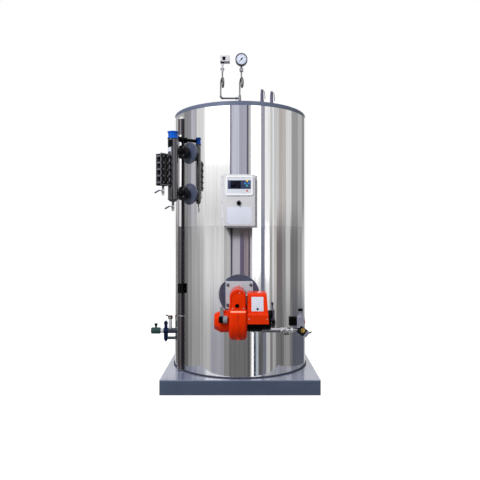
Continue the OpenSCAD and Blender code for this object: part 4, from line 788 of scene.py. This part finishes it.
# The head's rim is an arch on two legs, and the scroll's seam a straight stretch and a part of a circle
rim_path = [
    (HEAD_RIM_R, -HEAD_LEG, 0),
    *[(HEAD_RIM_R * math.cos(a), HEAD_RIM_R * math.sin(a), 0)
      for a in np.linspace(-0.05, math.pi + 0.05, 28)],
    (-HEAD_RIM_R, -HEAD_LEG, 0)]
seam_path = [(HEAD_X, FAN_Y - SCROLL_R, z) for z in (634, 600)] + [
    (HEAD_X, FAN_Y - SCROLL_R * math.cos(a), FAN_Z - SCROLL_R * math.sin(a)) for a in np.linspace(0, 1.5, 14)]
head_screws = [wall(0, HEAD_FRONT, HEAD_X + x, z) for x, z in ((-36, 668), (38, 668), (12, 776))]
piece("burner_details", [
    (BURNER_RED, placed(pipe(rim_path, 4.2, 12), wall(0, HEAD_FRONT, HEAD_X, HEAD_Z))),
    (SEAM_RED, pipe(seam_path, 2.2, 8)),
    # a pale red strip laid on the sloped ledge as a painted highlight
    (LEDGE_HIGHLIGHT, placed(box(100, 14, 0, 0.5, 0.2, 2), wall(0, LEDGE_OUT, HEAD_X, LEDGE_Z) @ matrix(rx=-45))),
    (BLACK_PLASTIC, placed(disc(14.6, 0, 3), wall(0, HEAD_FRONT - 14, SIGHT_X, SIGHT_Z))),
    (BURNER_RED, placed(tube(20, 15.4, 0, 3), wall(0, HEAD_FRONT, SIGHT_X, SIGHT_Z))),
    (BRIGHT_STEEL, placed(pan_screw(4.5), *head_screws))])
piece("plate_bolts", [
    (BOLT_GREY, placed(bolt(10, 12), *[
        wall(0, PLATE_FRONT, BOX_X + side * 84, PLATE_Z + end * 74) for side in (-1, 1) for end in (-1, 1)])),
    (BRASS, placed(pan_screw(5), wall(0, PLATE_FRONT, -6, 803)))])
cover_label = wall(0, 827, 119.5, 697) @ matrix(rx=-COVER_TILT)
piece("cover_details", [
    (BLANK_PLATE, placed(box(82, 98, -0.6, 0.8, 0.3, 4), cover_label)),
    (BLACK_PLASTIC, placed(disc(7, 0, 5, 1.5), cover_label @ matrix(0, -33, 0.6))),
    (BRIGHT_STEEL, placed(pan_screw(4), *[wall(0, COVER_SCREW_OUT, x, COVER_SCREW_Z) for x in (62, 184)]))])

# The hose leads from the head's side to the pressure switch: right, up and out
hose = curve([
    (-128, 672, 842), (-136, 690, 820), (-150, 715, 740), (-157, 745, 650), (-150, 785, 590),
    (-128, 818, 572), (-100, 838, 566)], 6)
piece("air_hose", [(HOSE_GREY, placed(pipe(hose, 3.4, 10), wall(0)))])

# Gas train: its pieces are placed as far out as the gas valve's middle, and the filter block is tilted

VALVE_X, GAS_OUT = middle("gas_valve")[0], -middle("gas_valve")[1]
VALVE_HALF = round(high("gas_valve")[0] - VALVE_X, 0)
BLOCK_X, BLOCK_Z = middle("gas_filter")[[0, 2]]
BLOCK_TILT = 38.0
block_frame = wall(0, GAS_OUT, BLOCK_X, BLOCK_Z) @ matrix(rz=-BLOCK_TILT)

dress(
    ("gas_pipe", NICKEL, 0.8), ("gas_cock_handle", BLACK_PLASTIC, 0.8), ("gas_valve", VALVE_ALLOY, 1.5),
    ("gas_valve_coil", BLACK_PLASTIC, 2.0), ("gas_filter", BLACK_IRON, 1.5),
    ("gas_inlet_flange", VALVE_ALLOY, 1.2))

# Bolts of the inlet flange and the test nipple are placed from the middle of the tilted filter block
inlet_bolts = [block_frame @ matrix(41.3, y, z, ry=90) for y in (-21, 21) for z in (-21, 21)]
nipple = [(52, 14, 8), (54, 26, 8), (62, 38, 8)]
piece("gas_details", [
    (BRASS, placed(disc(16, 6, 8.5, 0.8), block_frame @ matrix(0, 8, 31))),
    (BLACK_PLASTIC, placed(disc(17, 0, 20, 4), wall(0, GAS_OUT, VALVE_X, 620) @ matrix(rx=-90))),
    (ORANGE_PLASTIC, placed(disc(13, 0, 7, 2), wall(0, GAS_OUT, VALVE_X + VALVE_HALF, 542) @ matrix(ry=90))),
    (BRIGHT_STEEL, placed(bolt(6, 7), *inlet_bolts)),
    (LEVER_STEEL, placed(tube(13.9, 13.2, 0, 130), wall(0, GAS_OUT, 160, BLOCK_Z) @ matrix(ry=90))),
    (BLACK_PLASTIC, placed(pipe(nipple, 4.5, 12), block_frame)),
    (BRIGHT_STEEL, placed(pan_screw(3.4), *[
        wall(0, GAS_OUT + VALVE_HALF, VALVE_X + side * 20, z) for side in (-1, 1) for z in (526, 570)]))])

# Feed water group

dress(
    ("feed_pipes", TEE_PAINT, 0.8), ("feed_check_valve", CHECK_BLUE, 1.0),
    ("feed_fittings", BRIGHT_ALLOY, 0.8), ("feed_stop_valve", STOP_GREEN, 1.2),
    ("vent_lever", BLACK_PLASTIC, 0.8))
piece("feed_details", [
    (BLACK_PLASTIC, placed(disc(13, 0, 15, 3), matrix(middle("feed_stop_valve")[0], 0, 416))),
    (VENT_BRASS, placed(hexagon(19.6, 28.6), matrix(-590, 0, 469.7)))])

# Instruments and safety valves

dress(
    ("instrument_manifold", LEVER_STEEL, 0.6), ("siphons", SIPHON_STEEL, 0.0),
    ("pressure_gauge", GAUGE_CASE, 1.0), ("pressure_switch", BOX_PAINT, 2.0),
    ("safety_valves", SAFETY_PAINT, 0.8), ("safety_lever_left", LEVER_STEEL, 0.5),
    ("safety_lever_right", LEVER_STEEL, 0.5))

GAUGE_OUT, GAUGE_R, GLASS_DEPTH = -low("pressure_gauge")[1], 49.0, 4.0
DIAL_X, DIAL_Z = middle("pressure_gauge")[0], high("pressure_gauge")[2] - GAUGE_R
DIAL_START, DIAL_SWEEP, TICKS = 225.0, 270.0, 40
TICK_RING, NUMBER_RING, NUMBER_SIZE = 39.0, 26.0, 9.5

# Dial: 0 is at the lower left, and the scale runs clockwise
dial_face = wall(0, GAUGE_OUT - GLASS_DEPTH, DIAL_X, DIAL_Z)
ticks = []
for i in range(TICKS + 1):
    length, width = (6.5, 1.3) if i % 5 == 0 else (3.4, 0.7)
    turn = matrix(rz=DIAL_START - DIAL_SWEEP * i / TICKS)
    ticks.append(placed(box(length, width, 0, 0.3, 0.1), turn @ matrix(TICK_RING - length / 2)))
numbers = []
for i, text in enumerate(("0", "4", "8", "12", "16")):
    angle = math.radians(DIAL_START - DIAL_SWEEP * i / 4)
    spot = matrix(NUMBER_RING * math.cos(angle), NUMBER_RING * math.sin(angle))
    numbers.append(placed(lettering(text, NUMBER_SIZE), spot))
pointer = slab([(31, 0.8), (-10, 3.2), (-18, 3.2), (-18, -3.2), (-10, -3.2), (31, -0.8)], 0, 0.6, 0.2)
needle = joined(placed(pointer, matrix(rz=DIAL_START + 3)), disc(6.5, 0, 2.0, 0.8, 24))
piece("dial", [
    (DIAL_WHITE, placed(disc(41.6, 0, 0.8, 0.2, 64), dial_face)),
    (BLACK_PLASTIC, placed(joined(*ticks, *numbers), dial_face @ matrix(z=0.7))),
    (BLACK_PLASTIC, placed(needle, dial_face @ matrix(z=1.6)))])

STUB_Y, SWITCH_STUB_X, NUT_R = -166.4, -143.5, 15.5
SWITCH_X, SWITCH_FRONT = middle("pressure_switch")[0], -low("pressure_switch")[1]
piece("instrument_nuts", [
    (BRIGHT_STEEL, placed(hexagon(NUT_R, 29), matrix(DIAL_X, STUB_Y, 2508.3))),
    (BRIGHT_STEEL, placed(hexagon(NUT_R, 16), matrix(SWITCH_STUB_X, STUB_Y, 2521.3)))])
piece("switch_details", [
    (SCREEN, placed(box(26, 30, 0, 0.5, 0.2, 2), wall(0, SWITCH_FRONT, -130, 2606))),
    (BLACK_PLASTIC, placed(tube(13, 5, -9, 0.5), matrix(SWITCH_STUB_X, STUB_Y, 2583))),
    (BRIGHT_STEEL, placed(pan_screw(2.6), *[
        wall(0, SWITCH_FRONT, SWITCH_X + side * 34, 2607 + end * 19)
        for side in (-1, 1) for end in (-1, 1)]))])

# Studio

# Cards of light round the object as the metal shows them: where each one ends, in degrees from straight in
# front towards the right, and its brightness or colour. The lists are for the room above eye level, at eye
# level and near the floor.
ROOM_ABOVE = [
    (-150, 0.95), (-112, 0.42), (-100, 0.26), (-92, (0.28, 0.28, 0.32)), (-84, (0.5, 0.49, 0.54)),
    (-79, (0.42, 0.42, 0.46)), (-66, 0.7), (-61, 0.86), (-34, 1.0), (-17, 1.0), (-15, (0.22, 0.22, 0.3)),
    (-2, (0.56, 0.57, 0.66)), (11, (0.4, 0.4, 0.48)), (14, (0.1, 0.1, 0.16)), (18, 0.5), (35, 1.0),
    (41, (0.34, 0.34, 0.4)), (51, 0.9), (55, 0.6), (58, 0.82), (68, 0.6), (75, (0.49, 0.45, 0.43)),
    (84, (0.52, 0.5, 0.48)), (98, 0.72), (118, 0.34), (135, 0.46), (150, 0.28), (180, 0.95),
]
ROOM_LEVEL = [
    (-150, 0.9), (-124, 0.12), (-112, 0.3), (-100, 0.2), (-90, 0.33), (-72, 0.45), (-64, 0.55), (-27, 0.8),
    (-16.5, 0.55), (-14, (0.05, 0.04, 0.07)), (0, (0.5, 0.48, 0.54)), (6, (0.14, 0.12, 0.18)),
    (13, (0.36, 0.3, 0.33)), (16.5, (0.05, 0.04, 0.07)), (20, (0.62, 0.6, 0.66)), (34.5, 1.0),
    (41.5, (0.2, 0.22, 0.3)), (50, 1.0), (55, 0.42), (58.5, 0.9), (64, (0.62, 0.58, 0.56)),
    (75, (0.19, 0.17, 0.18)), (84, 0.3), (95, 0.6), (118, 0.2), (136, 0.35), (150, 0.55), (180, 0.9),
]
ROOM_BELOW = [
    (-150, 0.6), (-124, 0.07), (-100, 0.15), (-90, 0.28), (-72, 0.36), (-64, 0.42), (-52, 0.52),
    (-27, (0.39, 0.39, 0.44)), (-19, 0.26), (12, 0.17), (16, 0.1), (19.5, 0.4), (22.0, 1.0),
    (26.3, (0.06, 0.08, 0.11)), (30, (0.52, 0.58, 0.64)), (37, 0.12), (44, (0.18, 0.19, 0.23)), (51, 0.55),
    (55, 0.22), (62, 0.44), (70, 0.18), (80, 0.16), (94, 0.32), (100, 0.2), (150, (0.11, 0.12, 0.15)),
    (180, 0.6),
]
CEILING = (0.9, 0.9, 0.92, 1.0)
WHITE = (1.0, 1.0, 1.0, 1.0)

# How much brighter than white the windows in the cards are, for the lights they draw on paint
WINDOW_GLOW = 1.9

# The window at the left of the middle, between two angles in radians, and the dark panel next to it:
# its least and greatest angle, the slope and start of its leaning left edge, and its heights
LEFT_WINDOW = (-1.08, -0.262)
PANEL_ANGLES, PANEL_LEAN, PANEL_UP = (-0.47, 0.36), (-7.54, -0.213), (0.0065, 0.1)
PANEL_BLACK, PANEL_BROWN = (0.004, 0.004, 0.005, 1.0), (0.07, 0.062, 0.06, 1.0)


def cards(tree, factor, room):
    """A ramp that steps from card to card."""
    node = add_node(tree, "ShaderNodeValToRGB", {"Fac": factor})
    ramp = node.color_ramp
    ramp.interpolation = "CONSTANT"
    ramp.elements.remove(ramp.elements[1])
    start = -180
    for i, (end, colour) in enumerate(room):
        stop = ramp.elements[0] if i == 0 else ramp.elements.new((start + 180) / 360)
        stop.position = (start + 180) / 360
        stop.color = (*colour, 1.0) if isinstance(colour, tuple) else (colour, colour, colour, 1.0)
        start = end
    return node.outputs["Color"]


def scaled(tree, colour, share):
    """A colour times a share."""
    return add_node(tree, "ShaderNodeVectorMath", {0: colour, "Scale": share}, operation="SCALE").outputs[0]


def left_window(tree, around, up, start, end, least, most):
    """A value that goes from least to most between two heights in the left window, and is most elsewhere."""
    value = rising(tree, up, start, end, least, most)
    before = maths(tree, "LESS_THAN", around, LEFT_WINDOW[0])
    after = maths(tree, "GREATER_THAN", around, LEFT_WINDOW[1])
    elsewhere = maths(tree, "MULTIPLY", maths(tree, "MAXIMUM", before, after), most)
    return maths(tree, "MAXIMUM", value, elsewhere)


def dark_panel(tree, around, up, behind):
    """A dark sloping panel just above eye level, which the sheet under the control box mirrors.

    The angle of its left edge is its slope times the height, plus its start, and not less than its least.
    """
    lean = maths(tree, "MULTIPLY_ADD", up, *PANEL_LEAN)
    left = maths(tree, "MAXIMUM", lean, PANEL_ANGLES[0])
    limits = [(around, left, "GREATER_THAN"), (around, PANEL_ANGLES[1], "LESS_THAN"),
              (up, PANEL_UP[0], "GREATER_THAN"), (up, PANEL_UP[1], "LESS_THAN")]
    inside = 1.0
    for value, limit, kind in limits:
        inside = maths(tree, "MULTIPLY", inside, maths(tree, kind, value, limit))
    brown = rising(tree, around, -0.22, -0.18)
    return blend(tree, inside, behind, blend(tree, brown, PANEL_BLACK, PANEL_BROWN))


def studio():
    """Even light for painted surfaces, white for the camera, and a ring of cards for what metal reflects.

    The ring's angle is atan2(x, -y). The lists blend within a few degrees of height.
    """
    world = bpy.data.worlds.new("studio")
    bpy.context.scene.world = world
    world.use_nodes = True
    tree = world.node_tree
    toward = add_node(tree, "ShaderNodeTexCoord").outputs["Generated"]
    axes = add_node(tree, "ShaderNodeSeparateXYZ", {"Vector": toward}).outputs
    up = axes["Z"]
    around = maths(tree, "ARCTAN2", axes["X"], maths(tree, "MULTIPLY", axes["Y"], -1.0))
    factor = rising(tree, around, -math.pi, math.pi)
    below, level, above = [cards(tree, factor, room) for room in (ROOM_BELOW, ROOM_LEVEL, ROOM_ABOVE)]
    above = scaled(tree, above, left_window(tree, around, up, 0.04, 0.15, 0.62, 1.0))
    room = blend(tree, rising(tree, up, -0.2, -0.05, kind="SMOOTHSTEP"), below, level)
    room = blend(tree, rising(tree, up, -0.01, 0.09, kind="SMOOTHSTEP"), room, above)
    room = dark_panel(tree, around, up, room)
    room = blend(tree, rising(tree, up, 0.45, 0.75, kind="SMOOTHSTEP"), room, CEILING)
    glow = left_window(tree, around, up, 0.145, 0.2, 1.0, WINDOW_GLOW)
    mirrored = scaled(tree, room, rising(tree, room, 0.95, 1.0, 1.0, glow))
    path = add_node(tree, "ShaderNodeLightPath").outputs
    lit = blend(tree, path["Is Glossy Ray"], rising(tree, up, 0.0, 0.8, 0.4, 0.85), mirrored)
    direct = maths(tree, "MAXIMUM", path["Is Camera Ray"], path["Is Transmission Ray"])
    tree.links.new(blend(tree, direct, lit, WHITE), tree.nodes["Background"].inputs["Color"])


def floor():
    """A floor that is white to the camera, with the object's soft shadow, and throws little light up.

    Metal sees past it to the cards.
    """
    material = bpy.data.materials.new("studio_floor")
    material.use_nodes = True
    tree = material.node_tree
    tree.nodes.clear()
    out = tree.nodes.new("ShaderNodeOutputMaterial")
    path = add_node(tree, "ShaderNodeLightPath").outputs
    matt = add_node(tree, "ShaderNodeBsdfDiffuse", {"Color": (0.9, 0.9, 0.9, 1.0)})
    dim = add_node(tree, "ShaderNodeBsdfDiffuse", {"Color": (0.28, 0.28, 0.3, 1.0)})
    glow = add_node(tree, "ShaderNodeEmission", {"Color": WHITE, "Strength": 1.25})
    lit = add_node(tree, "ShaderNodeMixShader", {0: 0.75, 1: matt.outputs[0], 2: glow.outputs[0]})
    plain = add_node(tree, "ShaderNodeMixShader", {
        0: path["Is Camera Ray"], 1: dim.outputs[0], 2: lit.outputs[0]})
    clear = add_node(tree, "ShaderNodeBsdfTransparent")
    whole = add_node(tree, "ShaderNodeMixShader", {
        0: path["Is Glossy Ray"], 1: plain.outputs[0], 2: clear.outputs[0]})
    tree.links.new(whole.outputs[0], out.inputs["Surface"])
    mesh = bpy.data.meshes.new("studio_floor")
    half = 60.0
    corners = [(-half, -half, 0), (half, -half, 0), (half, half, 0), (-half, half, 0)]
    mesh.from_pydata(corners, [], [(0, 1, 2, 3)])
    mesh.materials.append(material)
    obj = bpy.data.objects.new("studio_floor", mesh)
    bpy.context.scene.collection.objects.link(obj)


def lamp(name, place, target, size, watts):
    """A square area lamp aimed at a point."""
    light = bpy.data.lights.new(name, "AREA")
    light.size = size
    light.energy = watts
    obj = bpy.data.objects.new(name, light)
    obj.location = place
    aim = obj.location.copy()
    aim[:] = [t - p for t, p in zip(target, place)]
    obj.rotation_euler = aim.to_track_quat("-Z", "Y").to_euler()
    bpy.context.scene.collection.objects.link(obj)
    obj.visible_glossy = False


studio()
floor()
lamp("key_light", (-2.6, -5.2, 4.6), (0.0, 0.0, 1.2), 2.0, 330.0)

# The camera is about level with the casing's middle and 7.75 casing radii from its axis, in metres
EYE_DISTANCE, EYE_HEIGHT = 4.262, 1.127

camera = bpy.data.cameras.new("camera")
camera.lens = 37.7
camera.shift_y = 0.0025
eye = bpy.data.objects.new("camera", camera)
eye.location = (0.0, -EYE_DISTANCE, EYE_HEIGHT)
eye.rotation_euler = (math.radians(90), 0.0, 0.0)
bpy.context.scene.collection.objects.link(eye)
bpy.context.scene.camera = eye
bpy.context.scene.view_settings.view_transform = "Standard"
